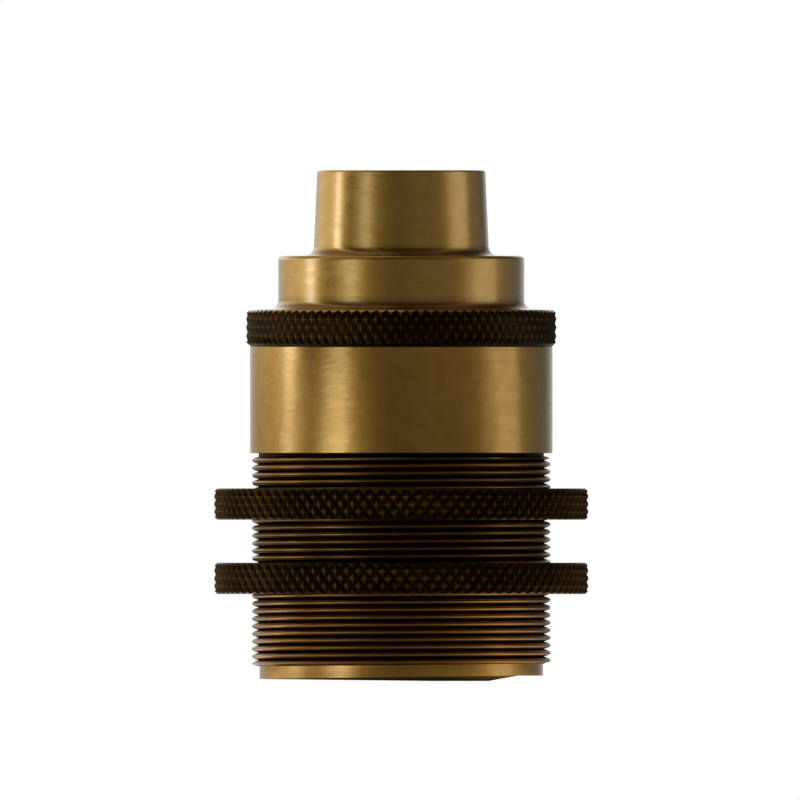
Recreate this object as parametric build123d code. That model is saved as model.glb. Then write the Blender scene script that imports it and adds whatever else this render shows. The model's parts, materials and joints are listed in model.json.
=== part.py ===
from build123d import *
import math
import os

# Lamp holder for a screw-in lamp, turned from solid brass, standing on its mouth.
# Origin at the centre of the mouth's plane, +Z up along the turning axis, millimetres.

# Overall heights along the axis
TOTAL_HEIGHT = 68.4
RIM_TOP = 2.2
BAND_BOTTOM = 30.5
BAND_TOP = 44.8
NECK_TOP = 48.8
STEP_TOP = 56.95

# Barrel: smooth band, skirt with a right-hand thread of 40 mm by 1 mm, plain rim,
# spigot that the cap screws on
BAND_RADIUS = 20.26
THREAD_CREST = 20.0
THREAD_ROOT = 19.3
THREAD_PITCH = 1.0
THREAD_START = 1.41
THREAD_TURNS = 29
GROOVE_HALF_MOUTH = 0.4
GROOVE_OVERRUN = 0.15
THREAD_UNDERCUT = 0.35
SKIRT_CORE = 18.2
RIM_RADIUS = 19.0
NECK_RADIUS = 18.6
NECK_CHAMFER = 0.4
BARREL_BORE = 17.4
LIP_RADIUS = 15.2
LIP_TOP = 3.0
MOUTH_CHAMFER = 0.8

# The rim's lead-in chamfer runs out at the left and is widest at the right,
# where a shallow flat with a ramp is milled across the rim
RIM_CHAMFER_LEFT = 0.05
RIM_CHAMFER_RIGHT = 0.65
FLAT_DEPTH = 0.55
FLAT_RAMP_START = 11.4
FLAT_RAMP_END = 15.8

# Diamond knurling: crossing grooves leave rows of four-sided points
KNURL_TEETH = 96
RING_CREST = 25.1
RING_KNURL_DEPTH = 0.45
RING_ROW_PITCH = 1.02
RING_EDGE_RADIUS = 24.65
CAP_CREST = 20.8
CAP_KNURL_DEPTH = 0.375
CAP_ROW_PITCH = 1.138
CAP_KNURL_MIDDLE = 47.33
CAP_TOP_EDGE_RADIUS = 20.33
CAP_BOTTOM_EDGE_RADIUS = 20.2
FLANGE_TOP = 49.68

# Shade rings
RING_THICKNESS = 4.19
RING_BORE = 20.05
RING_BORE_CHAMFER = 0.4
UPPER_RING_BOTTOM = 21.6
LOWER_RING_BOTTOM = 11.65

# Cap above its knurled flange
FLANGE_RISE = 0.2
FLANGE_TOP_RADIUS = 20.2
STEP_RADIUS = 16.5
STEP_TOP_ROUND = 0.6
STEP_FOOT_ROUND = 1.1
BOSS_FOOT_RADIUS = 11.78
BOSS_TOP_RADIUS = 11.27
BOSS_FOOT_ROUND = 0.85
BOSS_TOP_ROUND = 0.3

# Cap inside
CAP_SPIGOT_BORE = 18.65
CAP_SEAT = 49.0
CAP_CAVITY_RADIUS = 15.0
CAP_CEILING = 55.4
CAP_CAVITY_ROUND = 0.8
NIPPLE_WELL_RADIUS = 6.5
NIPPLE_WELL_TOP = 60.4
NIPPLE_RADIUS = 4.46
NIPPLE_CHAMFER = 0.55

# Grub screw in the back of the boss and earthing screw under the cap's roof
GRUB_HEIGHT = 64.2
GRUB_RADIUS = 2.0
GRUB_INNER_END = 4.7
GRUB_LENGTH = 5.6
EARTH_OFFSET = 9.2
EARTH_SHANK_RADIUS = 1.5
EARTH_SHANK_LENGTH = 5.8
EARTH_HEAD_RADIUS = 2.8
EARTH_HEAD_HEIGHT = 1.9
EARTH_WASHER_RADIUS = 3.5
EARTH_WASHER_THICKNESS = 0.8

# Porcelain
PORCELAIN_RADIUS = 17.2
LINER_BORE = 13.9
LINER_MOUTH_CHAMFER = 0.6
BASE_BOTTOM = 31.0
BASE_TOP = 48.9
BASE_BOSS_RADIUS = 9.2
BASE_BOSS_DROP = 0.8
BASE_EDGE_CHAMFER = 0.5
LUG_WIDTH = 4.0
LUG_RADIUS = 18.4
LUG_BOTTOM = 45.5
NOTCH_CLEARANCE = 0.1
POCKET_FLOOR = 38.5
POCKET_CLEARANCE = 0.1
POCKET_FRONT = -7.0
POCKET_BACK = 3.6

# Screw shell: rolled thread of 27 mm lamps, 7 turns to the inch
SHELL_MINOR = 12.2
SHELL_MAJOR = 13.3
SHELL_PITCH = 3.629
SHELL_TURNS = 5
SHELL_WALL = 0.35
SHELL_MOUTH = 5.0
SHELL_THREAD_START = 6.3
SHELL_SHOULDER_RADIUS = 12.9
SHELL_SHOULDER = 26.0
SHELL_FLANGE_BORE = 9.5

# Terminals
BLOCK_SIZE = 7.0
BLOCK_TOP = 47.0
LIVE_X = 8.7
NEUTRAL_X = -10.7
WIRE_WAY_WIDTH = 3.4
WIRE_WAY_BOTTOM = 41.8
WIRE_WAY_TOP = 45.4
PLATE_THICKNESS = 0.6
PLATE_WIDTH = 3.2
PLATE_LENGTH = 6.0
CLAMP_HEAD_BOTTOM = 47.3

# Small screws: shank, head and driver slot
SCREW_SHANK = 1.25
SCREW_HEAD = 1.6
SCREW_HEAD_HEIGHT = 1.2
CLAMP_HEAD = 2.2
CLAMP_HEAD_HEIGHT = 1.5
HEAD_ROUND = 0.35
SLOT_WIDTH = 0.6
SLOT_DEPTH = 0.6
SHELL_SCREW_CIRCLE = 11.2
SHELL_SCREW_ANGLES = (180, 75, -75)
BLOCK_SCREW_TIP = 41.2
NUT_SEAT = 42.0
NUT_HEIGHT = 2.0
NUT_CORNER_RADIUS = 2.89
NUT_WELL_RADIUS = 3.1
NUT_SCREW_TIP = 44.8

# Sprung centre contact
STRAP_THICKNESS = 0.5
STRAP_EYE_RADIUS = 4.2
STRAP_END_RADIUS = 2.1
STRAP_HOLE = 2.7
CONTACT_SCREW_X = 7.0
BUTTON_RADIUS = 2.6
BUTTON_TIP = 27.2
BUTTON_ROUND = 1.0
COLLAR_RADIUS = 3.25
COLLAR_HEIGHT = 1.0
STEM_RADIUS = 1.4
STEM_TOP = 34.0
PLUNGER_BORE = 3.4
PLUNGER_BORE_TOP = 38.0
SPRING_RADIUS = 2.3
SPRING_WIRE = 0.45
SPRING_TURNS = 4

# Margin by which a cutting tool runs past the face it cuts
PAST = 1.0


def turned(*corners):
    """Revolve a closed outline of (radius, height) or (radius, height, round) corners."""
    points = [(corner[0], corner[1]) for corner in corners]
    rounds = [corner[2] if len(corner) > 2 else 0 for corner in corners]
    outline = FilletPolyline(*points, radius=rounds, close=True)
    return revolve(Plane.XZ * make_face(outline), axis=Axis.Z)


def rod(radius, bottom, top, x=0.0, y=0.0):
    """Upright cylinder between two heights."""
    return Pos(x, y, (bottom + top) / 2) * Cylinder(radius, top - bottom)


def block(x_range, y_range, z_range):
    """Box between two corners."""
    spans = (x_range, y_range, z_range)
    middle = [(low + high) / 2 for low, high in spans]
    sizes = [high - low for low, high in spans]
    return Pos(*middle) * Box(*sizes)


def slotted_screw(shank, length, head, head_height):
    """Pan head screw whose head sits on z = 0 from above, shank down, driver slot on top."""
    body = turned(
        (0, -length),
        (shank, -length),
        (shank, 0),
        (head, 0),
        (head, head_height, HEAD_ROUND),
        (0, head_height),
    )
    slot = Pos(0, 0, head_height) * Box(2 * head + PAST, SLOT_WIDTH, 2 * SLOT_DEPTH)
    return body - slot


def knurl_point(half_step, radius, height):
    """Point on the knurling's grid, which has two half steps to a tooth."""
    angle = half_step * math.pi / KNURL_TEETH
    return (radius * math.cos(angle), radius * math.sin(angle), height)


def facets(*triangles):
    """Flat triangular faces through the given points."""
    return [Face(Wire.make_polygon(triangle, close=True)) for triangle in triangles]


def diamond(half_step, row, crest, root, pitch, middle):
    """One four-sided point, raised from the crossings of the grooves round it."""
    height = middle + row * pitch
    tip = knurl_point(half_step, crest, height)
    left = knurl_point(half_step - 1, root, height)
    right = knurl_point(half_step + 1, root, height)
    below = knurl_point(half_step, root, height - pitch)
    above = knurl_point(half_step, root, height + pitch)
    return facets((left, below, tip), (below, right, tip), (right, above, tip), (above, left, tip))


def half_diamond(half_step, side, root, depth, pitch, middle, edge_height, edge_radius):
    """Half a point beside the blank's end, cut off by the 45 degree edge chamfer."""
    end = abs(edge_height - middle)
    tip_offset = (edge_radius + end - root + depth) / (1 + depth / pitch)
    tip = knurl_point(half_step, edge_radius + end - tip_offset, middle + side * tip_offset)
    inner = knurl_point(half_step, root, middle + side * pitch)
    groove_height = middle + side * 2 * pitch
    left = knurl_point(half_step - 1, root, groove_height)
    right = knurl_point(half_step + 1, root, groove_height)
    left_edge = knurl_point(half_step - 1, edge_radius, edge_height)
    right_edge = knurl_point(half_step + 1, edge_radius, edge_height)
    return facets(
        (inner, right, tip),
        (left, inner, tip),
        (right, right_edge, tip),
        (left_edge, left, tip),
        (left_edge, tip, right_edge),
    )


def knurled_blank(crest, depth, pitch, middle, bottom_edge, top_edge):
    """Solid disc with a diamond knurled rim between two (height, radius) edges."""
    root = crest - depth
    faces = []
    for tooth in range(KNURL_TEETH):
        even = 2 * tooth
        for row in (-1, 0, 1):
            faces += diamond(even + abs(row), row, crest, root, pitch, middle)
        for side, edge in ((-1, bottom_edge), (1, top_edge)):
            faces += half_diamond(even, side, root, depth, pitch, middle, *edge)
    for height, radius in (bottom_edge, top_edge):
        corners = [knurl_point(2 * tooth + 1, radius, height) for tooth in range(KNURL_TEETH)]
        faces.append(Face(Wire.make_polygon(corners, close=True)))
    return Solid(Shell(faces)).fix()


def make_cap():
    """Turned cap: tapered boss and step over a knurled flange, hollow, open at the foot."""
    blank = knurled_blank(
        CAP_CREST,
        CAP_KNURL_DEPTH,
        CAP_ROW_PITCH,
        CAP_KNURL_MIDDLE,
        (BAND_TOP, CAP_BOTTOM_EDGE_RADIUS),
        (FLANGE_TOP, CAP_TOP_EDGE_RADIUS),
    )
    dome = turned(
        (0, CAP_SEAT),
        (FLANGE_TOP_RADIUS, CAP_SEAT),
        (FLANGE_TOP_RADIUS, FLANGE_TOP),
        (STEP_RADIUS, FLANGE_TOP + FLANGE_RISE, STEP_FOOT_ROUND),
        (STEP_RADIUS, STEP_TOP, STEP_TOP_ROUND),
        (BOSS_FOOT_RADIUS, STEP_TOP, BOSS_FOOT_ROUND),
        (BOSS_TOP_RADIUS, TOTAL_HEIGHT, BOSS_TOP_ROUND),
        (0, TOTAL_HEIGHT),
    )
    inside = turned(
        (0, BAND_TOP - PAST),
        (CAP_SPIGOT_BORE, BAND_TOP - PAST),
        (CAP_SPIGOT_BORE, CAP_SEAT),
        (CAP_CAVITY_RADIUS, CAP_SEAT),
        (CAP_CAVITY_RADIUS, CAP_CEILING, CAP_CAVITY_ROUND),
        (NIPPLE_WELL_RADIUS, CAP_CEILING),
        (NIPPLE_WELL_RADIUS, NIPPLE_WELL_TOP),
        (NIPPLE_RADIUS, NIPPLE_WELL_TOP),
        (NIPPLE_RADIUS, TOTAL_HEIGHT - NIPPLE_CHAMFER),
        (NIPPLE_RADIUS + NIPPLE_CHAMFER + PAST, TOTAL_HEIGHT + PAST),
        (0, TOTAL_HEIGHT + PAST),
    )
    grub_hole = Pos(0, GRUB_INNER_END, GRUB_HEIGHT) * Rot(-90, 0, 0) * Cylinder(
        GRUB_RADIUS, 2 * BOSS_FOOT_RADIUS, align=(Align.CENTER, Align.CENTER, Align.MIN)
    )
    grub_hole += Pos(0, 0, GRUB_HEIGHT) * Rot(-90, 0, 0) * Cylinder(
        GRUB_RADIUS, GRUB_INNER_END, align=(Align.CENTER, Align.CENTER, Align.MIN)
    )
    earth_hole = rod(
        EARTH_SHANK_RADIUS, CAP_CEILING - PAST, CAP_CEILING + EARTH_SHANK_LENGTH, y=EARTH_OFFSET
    )
    return blank + dome - inside - grub_hole - earth_hole


def make_nipple_lock_screw():
    """Slotted grub screw, in line with the boss's wall at the back."""
    plug = Cylinder(GRUB_RADIUS, GRUB_LENGTH, align=(Align.CENTER, Align.CENTER, Align.MIN))
    plug = chamfer(plug.edges().sort_by(Axis.Z)[0], SLOT_DEPTH)
    slot = Pos(0, 0, GRUB_LENGTH) * Box(2 * GRUB_RADIUS + PAST, SLOT_WIDTH, 2 * SLOT_DEPTH)
    return Pos(0, GRUB_INNER_END, GRUB_HEIGHT) * Rot(-90, 0, 0) * (plug - slot)


def make_earth_washer():
    """Flat washer against the cap's roof."""
    bottom = CAP_CEILING - EARTH_WASHER_THICKNESS
    disc = rod(EARTH_WASHER_RADIUS, bottom, CAP_CEILING, y=EARTH_OFFSET)
    return disc - rod(EARTH_SHANK_RADIUS, bottom - PAST, CAP_CEILING + PAST, y=EARTH_OFFSET)


def make_earth_screw():
    """Pan head screw up through the washer into the boss."""
    seat = CAP_CEILING - EARTH_WASHER_THICKNESS
    length = EARTH_SHANK_LENGTH + EARTH_WASHER_THICKNESS
    screw = slotted_screw(EARTH_SHANK_RADIUS, length, EARTH_HEAD_RADIUS, EARTH_HEAD_HEIGHT)
    return Pos(0, EARTH_OFFSET, seat) * Rot(180, 0, 0) * screw


def thread_groove(turn):
    """One turn of the skirt thread's 60 degree groove, counted up from below the rim's top."""
    height = THREAD_START + turn * THREAD_PITCH
    reach = THREAD_CREST + GROOVE_OVERRUN
    half_width = GROOVE_HALF_MOUTH * (reach - THREAD_ROOT) / (THREAD_CREST - THREAD_ROOT)
    section = Polyline(
        (THREAD_ROOT, height),
        (reach, height - half_width),
        (reach, height + half_width),
        close=True,
    )
    path = Helix(THREAD_PITCH, THREAD_PITCH, THREAD_ROOT, center=(0, 0, height))
    return sweep(Plane.XZ * make_face(section), path=path, is_frenet=True)


def make_skirt():
    """Threaded tube between the rim and the undercut below the band."""
    blank = turned(
        (SKIRT_CORE, RIM_TOP),
        (THREAD_ROOT, RIM_TOP),
        (THREAD_CREST, RIM_TOP + THREAD_CREST - THREAD_ROOT),
        (THREAD_CREST, BAND_BOTTOM - 2 * THREAD_UNDERCUT),
        (THREAD_ROOT, BAND_BOTTOM - THREAD_UNDERCUT),
        (SKIRT_CORE, BAND_BOTTOM - THREAD_UNDERCUT),
    )
    return blank - [thread_groove(turn) for turn in range(THREAD_TURNS)]


def make_barrel():
    """Turned barrel: band, skirt, rim, inner lip for the porcelain, spigot for the cap."""
    body = turned(
        (LIP_RADIUS + MOUTH_CHAMFER, 0),
        (RIM_RADIUS, 0),
        (RIM_RADIUS, RIM_TOP),
        (SKIRT_CORE, RIM_TOP),
        (SKIRT_CORE, BAND_BOTTOM - THREAD_UNDERCUT),
        (THREAD_ROOT, BAND_BOTTOM - THREAD_UNDERCUT),
        (THREAD_ROOT, BAND_BOTTOM),
        (BAND_RADIUS, BAND_BOTTOM),
        (BAND_RADIUS, BAND_TOP),
        (NECK_RADIUS, BAND_TOP),
        (NECK_RADIUS, NECK_TOP - NECK_CHAMFER),
        (NECK_RADIUS - NECK_CHAMFER, NECK_TOP),
        (BARREL_BORE, NECK_TOP),
        (BARREL_BORE, LIP_TOP),
        (LIP_RADIUS, LIP_TOP),
        (LIP_RADIUS, MOUTH_CHAMFER),
    )
    notch = block(
        (-LUG_WIDTH / 2 - NOTCH_CLEARANCE, LUG_WIDTH / 2 + NOTCH_CLEARANCE),
        (BARREL_BORE - PAST, BAND_RADIUS),
        (LUG_BOTTOM - NOTCH_CLEARANCE, NECK_TOP + PAST),
    )
    return body + make_skirt() - notch - rim_chamfer_tool() - rim_flat_tool()


def rim_chamfer_tool():
    """Ring outside a tilted cone, so that the chamfer widens from left to right."""
    middle = (RIM_CHAMFER_LEFT + RIM_CHAMFER_RIGHT) / 2
    tilt = math.degrees(math.atan((RIM_CHAMFER_RIGHT - RIM_CHAMFER_LEFT) / (2 * RIM_RADIUS)))
    reach = 2 * PAST
    cone = Cone(RIM_RADIUS - reach, RIM_RADIUS + reach, 2 * reach)
    ring = rod(RIM_RADIUS + PAST, -PAST, middle + PAST)
    return ring - Pos(0, 0, middle) * Rot(0, -tilt, 0) * cone


def rim_flat_tool():
    """Prism under the shallow flat and its ramp at the right of the rim."""
    far = RIM_RADIUS + PAST
    section = Polyline(
        (FLAT_RAMP_START, 0),
        (FLAT_RAMP_END, FLAT_DEPTH),
        (far, FLAT_DEPTH),
        (far, -PAST),
        (FLAT_RAMP_START, -PAST),
        close=True,
    )
    return extrude(Plane.XZ * make_face(section), amount=far, both=True)


def make_shade_ring(bottom):
    """Knurled ring that runs on the skirt's thread."""
    top = bottom + RING_THICKNESS
    blank = knurled_blank(
        RING_CREST,
        RING_KNURL_DEPTH,
        RING_ROW_PITCH,
        (bottom + top) / 2,
        (bottom, RING_EDGE_RADIUS),
        (top, RING_EDGE_RADIUS),
    )
    mouth = RING_BORE + RING_BORE_CHAMFER
    bore = turned(
        (0, bottom - PAST),
        (mouth + PAST, bottom - PAST),
        (RING_BORE, bottom + RING_BORE_CHAMFER),
        (RING_BORE, top - RING_BORE_CHAMFER),
        (mouth + PAST, top + PAST),
        (0, top + PAST),
    )
    return blank - bore


def make_insulating_liner():
    """Porcelain sleeve on the barrel's lip, round the screw shell."""
    return turned(
        (LINER_BORE + LINER_MOUTH_CHAMFER, LIP_TOP),
        (PORCELAIN_RADIUS, LIP_TOP),
        (PORCELAIN_RADIUS, BASE_BOTTOM),
        (LINER_BORE, BASE_BOTTOM),
        (LINER_BORE, LIP_TOP + LINER_MOUTH_CHAMFER),
    )


def make_screw_shell():
    """Rolled shell: flared mouth, thread waves, plain shoulder, inward flange with holes."""
    inner = [(SHELL_MAJOR, SHELL_MOUTH)]
    for turn in range(SHELL_TURNS):
        height = SHELL_THREAD_START + turn * SHELL_PITCH
        inner.append((SHELL_MINOR, height))
        inner.append((SHELL_MAJOR, height + SHELL_PITCH / 2))
    inner.append((SHELL_MINOR, SHELL_THREAD_START + SHELL_TURNS * SHELL_PITCH))
    inner.append((SHELL_SHOULDER_RADIUS, SHELL_SHOULDER))
    outer = [(radius + SHELL_WALL, height) for radius, height in inner]
    flange_bottom = BASE_BOTTOM - SHELL_WALL
    end = [
        (SHELL_SHOULDER_RADIUS, flange_bottom),
        (SHELL_FLANGE_BORE, flange_bottom),
        (SHELL_FLANGE_BORE, BASE_BOTTOM),
        (SHELL_SHOULDER_RADIUS + SHELL_WALL, BASE_BOTTOM),
    ]
    shell = turned(*inner, *end, *reversed(outer))
    for angle in SHELL_SCREW_ANGLES:
        x, y = on_circle(SHELL_SCREW_CIRCLE, angle)
        shell -= rod(SCREW_SHANK, flange_bottom - PAST, BASE_BOTTOM + PAST, x, y)
    return shell


def on_circle(radius, degrees):
    """Place on a circle about the axis."""
    angle = math.radians(degrees)
    return radius * math.cos(angle), radius * math.sin(angle)


def make_porcelain_base():
    """Porcelain block: boss below, terminal pockets and nut wells above, lug at the back."""
    boss_bottom = BASE_BOTTOM - BASE_BOSS_DROP
    base = turned(
        (0, boss_bottom),
        (BASE_BOSS_RADIUS, boss_bottom),
        (BASE_BOSS_RADIUS, BASE_BOTTOM),
        (PORCELAIN_RADIUS, BASE_BOTTOM),
        (PORCELAIN_RADIUS, BASE_TOP - BASE_EDGE_CHAMFER),
        (PORCELAIN_RADIUS - BASE_EDGE_CHAMFER, BASE_TOP),
        (0, BASE_TOP),
    )
    base += block(
        (-LUG_WIDTH / 2, LUG_WIDTH / 2),
        (PORCELAIN_RADIUS - PAST, LUG_RADIUS),
        (LUG_BOTTOM, NECK_TOP),
    )
    half = BLOCK_SIZE / 2 + POCKET_CLEARANCE
    for centre in (LIVE_X, NEUTRAL_X):
        base -= block(
            (centre - half, centre + half),
            (POCKET_FRONT, POCKET_BACK),
            (POCKET_FLOOR, BASE_TOP + PAST),
        )
    base -= rod(PLUNGER_BORE, boss_bottom - PAST, PLUNGER_BORE_TOP)
    base -= rod(SCREW_SHANK, boss_bottom - PAST, POCKET_FLOOR + PAST, x=CONTACT_SCREW_X)
    for angle in SHELL_SCREW_ANGLES:
        x, y = on_circle(SHELL_SCREW_CIRCLE, angle)
        base -= rod(SCREW_SHANK, boss_bottom - PAST, NUT_SEAT, x, y)
        if abs(y) > PLUNGER_BORE:
            base -= rod(NUT_WELL_RADIUS, NUT_SEAT, BASE_TOP + PAST, x, y)
    return base


def make_shell_screws():
    """Three screws up through the shell's flange, the one at the left into its terminal."""
    seat = BASE_BOTTOM - SHELL_WALL
    screws = []
    for angle in SHELL_SCREW_ANGLES:
        x, y = on_circle(SHELL_SCREW_CIRCLE, angle)
        tip = BLOCK_SCREW_TIP if abs(y) < PLUNGER_BORE else NUT_SCREW_TIP
        screw = slotted_screw(SCREW_SHANK, tip - seat, SCREW_HEAD, SCREW_HEAD_HEIGHT)
        screws.append(Pos(x, y, seat) * Rot(180, 0, 0) * screw)
    return Compound(children=screws)


def make_shell_nuts():
    """Hexagon nuts in the porcelain's wells."""
    nuts = []
    for angle in SHELL_SCREW_ANGLES:
        x, y = on_circle(SHELL_SCREW_CIRCLE, angle)
        if abs(y) > PLUNGER_BORE:
            nut = extrude(RegularPolygon(NUT_CORNER_RADIUS, 6), NUT_HEIGHT)
            nut -= rod(SCREW_SHANK, -PAST, NUT_HEIGHT + PAST)
            nuts.append(Pos(x, y, NUT_SEAT) * nut)
    return Compound(children=nuts)


def make_terminal(centre, screw_x):
    """Brass block with a wire way from the front, a clamp hole above, a fixing hole below."""
    half = BLOCK_SIZE / 2
    body = block((centre - half, centre + half), (-half, half), (POCKET_FLOOR, BLOCK_TOP))
    body -= block(
        (centre - WIRE_WAY_WIDTH / 2, centre + WIRE_WAY_WIDTH / 2),
        (-half - PAST, half + PAST),
        (WIRE_WAY_BOTTOM, WIRE_WAY_TOP),
    )
    body -= rod(SCREW_SHANK, WIRE_WAY_TOP - PAST, BLOCK_TOP + PAST, x=centre)
    return body - rod(SCREW_SHANK, POCKET_FLOOR - PAST, BLOCK_SCREW_TIP, x=screw_x)


def make_terminal_screws():
    """Two clamping screws down into the terminals."""
    length = CLAMP_HEAD_BOTTOM - WIRE_WAY_TOP + PLATE_THICKNESS
    screw = slotted_screw(SCREW_SHANK, length, CLAMP_HEAD, CLAMP_HEAD_HEIGHT)
    places = [Pos(centre, 0, CLAMP_HEAD_BOTTOM) for centre in (LIVE_X, NEUTRAL_X)]
    return Compound(children=[place * screw for place in places])


def make_clamp_plates():
    """Pressure plates under the tips of the clamping screws."""
    top = WIRE_WAY_TOP - PLATE_THICKNESS
    plates = []
    for centre in (LIVE_X, NEUTRAL_X):
        plates.append(
            block(
                (centre - PLATE_WIDTH / 2, centre + PLATE_WIDTH / 2),
                (-PLATE_LENGTH / 2, PLATE_LENGTH / 2),
                (top - PLATE_THICKNESS, top),
            )
        )
    return Compound(children=plates)


def make_contact_strap():
    """Strap across the porcelain's boss that holds the plunger in."""
    top = BASE_BOTTOM - BASE_BOSS_DROP
    bottom = top - STRAP_THICKNESS
    strap = rod(STRAP_EYE_RADIUS, bottom, top)
    strap += block((0, CONTACT_SCREW_X), (-STRAP_END_RADIUS, STRAP_END_RADIUS), (bottom, top))
    strap += rod(STRAP_END_RADIUS, bottom, top, x=CONTACT_SCREW_X)
    strap -= rod(STRAP_HOLE, bottom - PAST, top + PAST)
    return strap - rod(SCREW_SHANK, bottom - PAST, top + PAST, x=CONTACT_SCREW_X)


def make_contact_screw():
    """Screw from the strap up into the live terminal."""
    seat = BASE_BOTTOM - BASE_BOSS_DROP - STRAP_THICKNESS
    screw = slotted_screw(SCREW_SHANK, BLOCK_SCREW_TIP - seat, SCREW_HEAD, SCREW_HEAD_HEIGHT)
    return Pos(CONTACT_SCREW_X, 0, seat) * Rot(180, 0, 0) * screw


def make_contact_plunger():
    """Plunger: rounded button below the strap, collar above it, stem inside the spring."""
    seat = BASE_BOTTOM - BASE_BOSS_DROP
    return turned(
        (0, BUTTON_TIP),
        (BUTTON_RADIUS, BUTTON_TIP, BUTTON_ROUND),
        (BUTTON_RADIUS, seat),
        (COLLAR_RADIUS, seat),
        (COLLAR_RADIUS, seat + COLLAR_HEIGHT),
        (STEM_RADIUS, seat + COLLAR_HEIGHT),
        (STEM_RADIUS, STEM_TOP),
        (0, STEM_TOP),
    )


def make_contact_spring():
    """Coil spring between the plunger's collar and the end of its bore."""
    bottom = BASE_BOTTOM - BASE_BOSS_DROP + COLLAR_HEIGHT + SPRING_WIRE / 2
    height = PLUNGER_BORE_TOP - SPRING_WIRE / 2 - bottom
    path = Pos(0, 0, bottom) * Helix(height / SPRING_TURNS, height, SPRING_RADIUS)
    section = Plane(origin=path @ 0, x_dir=(1, 0, 0), z_dir=path % 0) * Rectangle(
        SPRING_WIRE, SPRING_WIRE
    )
    return sweep(section, path, is_frenet=True)


PIECES = {
    "cap": make_cap(),
    "nipple_lock_screw": make_nipple_lock_screw(),
    "earth_washer": make_earth_washer(),
    "earth_screw": make_earth_screw(),
    "barrel": make_barrel(),
    "shade_ring_upper": make_shade_ring(UPPER_RING_BOTTOM),
    "shade_ring_lower": make_shade_ring(LOWER_RING_BOTTOM),
    "insulating_liner": make_insulating_liner(),
    "screw_shell": make_screw_shell(),
    "shell_screws": make_shell_screws(),
    "shell_nuts": make_shell_nuts(),
    "porcelain_base": make_porcelain_base(),
    "live_terminal": make_terminal(LIVE_X, CONTACT_SCREW_X),
    "neutral_terminal": make_terminal(NEUTRAL_X, -SHELL_SCREW_CIRCLE),
    "terminal_screws": make_terminal_screws(),
    "clamp_plates": make_clamp_plates(),
    "contact_strap": make_contact_strap(),
    "contact_screw": make_contact_screw(),
    "contact_plunger": make_contact_plunger(),
    "contact_spring": make_contact_spring(),
}

os.makedirs("parts", exist_ok=True)
for name, piece in PIECES.items():
    export_step(piece, f"parts/{name}.step")
    print(name, round(piece.volume, 1))
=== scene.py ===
"""Turned brass lamp holder with two knurled shade rings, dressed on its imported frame.

The holder stands on its mouth, +Z up along the turning axis and -Y towards the camera.
Sizes in the classes are millimetres; a mesh is turned to metres when its object is made.
"""

import json
import logging
import math
from abc import ABC, abstractmethod
from dataclasses import dataclass
from enum import Enum, IntEnum
from typing import Optional, Sequence, Union

import bmesh
import bpy
from mathutils import Matrix, Vector

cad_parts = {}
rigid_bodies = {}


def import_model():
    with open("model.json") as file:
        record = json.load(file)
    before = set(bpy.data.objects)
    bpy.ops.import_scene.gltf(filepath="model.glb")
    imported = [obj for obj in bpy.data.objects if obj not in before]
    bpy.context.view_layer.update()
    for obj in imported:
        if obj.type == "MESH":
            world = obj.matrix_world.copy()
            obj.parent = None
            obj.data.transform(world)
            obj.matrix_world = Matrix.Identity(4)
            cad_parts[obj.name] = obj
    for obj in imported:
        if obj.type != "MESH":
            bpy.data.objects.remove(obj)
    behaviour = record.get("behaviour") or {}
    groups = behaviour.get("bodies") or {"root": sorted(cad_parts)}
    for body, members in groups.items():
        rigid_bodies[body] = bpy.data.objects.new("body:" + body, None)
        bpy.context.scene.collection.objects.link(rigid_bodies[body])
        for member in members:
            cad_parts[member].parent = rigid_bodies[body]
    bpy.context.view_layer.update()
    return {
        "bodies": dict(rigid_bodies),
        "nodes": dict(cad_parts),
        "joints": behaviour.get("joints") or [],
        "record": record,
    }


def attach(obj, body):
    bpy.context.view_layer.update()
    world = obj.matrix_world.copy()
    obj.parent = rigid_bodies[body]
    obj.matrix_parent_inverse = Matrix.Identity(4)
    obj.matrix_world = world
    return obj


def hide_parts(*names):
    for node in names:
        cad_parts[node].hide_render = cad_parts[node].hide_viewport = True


LOG = logging.getLogger("lamp_holder")

MM = 0.001
# Points that lie nearer to each other than this, in millimetres, become one.
WELD_DISTANCE = 0.002
# The flange and both shade rings have the same number of knurled points round them.
KNURL_TEETH = 96
# Each surface has a column of points at every knurled point and at every groove.
COLUMNS = 2 * KNURL_TEETH
ARC_STEPS = 6
DRILL_SIDES = 64
# A cutting tool runs this far past the surface that it cuts through.
PAST = 1.0
# A thread is wound from this many turns below its lower end, and this many more in all.
TURNS_BELOW = 2
TURNS_SPARE = 3

# Sockets of the Mix node that mix colours; their names stand for other kinds too.
MIX_FACTOR = 0
MIX_A = 6
MIX_B = 7
MIX_RESULT = 2
QUARTER_TURN = 0.25
WHITE = (1.0, 1.0, 1.0, 1.0)

Section = list[tuple[float, float]]
# Where a change starts and where it ends.
Range = tuple[float, float]
SocketValue = Union[float, tuple[float, ...], bpy.types.NodeSocket]
Looks = dict[str, SocketValue]


def linear(colour: str) -> tuple[float, float, float, float]:
    """Turn an sRGB hex colour into linear light, along the curve of that standard.

    Args:
        colour: Hex colour such as "#d2aa65".

    Returns:
        Linear red, green and blue, with an alpha of one.
    """
    shares = [int(colour[at : at + 2], 16) / 255 for at in (1, 3, 5)]
    light = [s / 12.92 if s <= 0.04045 else ((s + 0.055) / 1.055) ** 2.4 for s in shares]
    return (light[0], light[1], light[2], 1.0)


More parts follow.
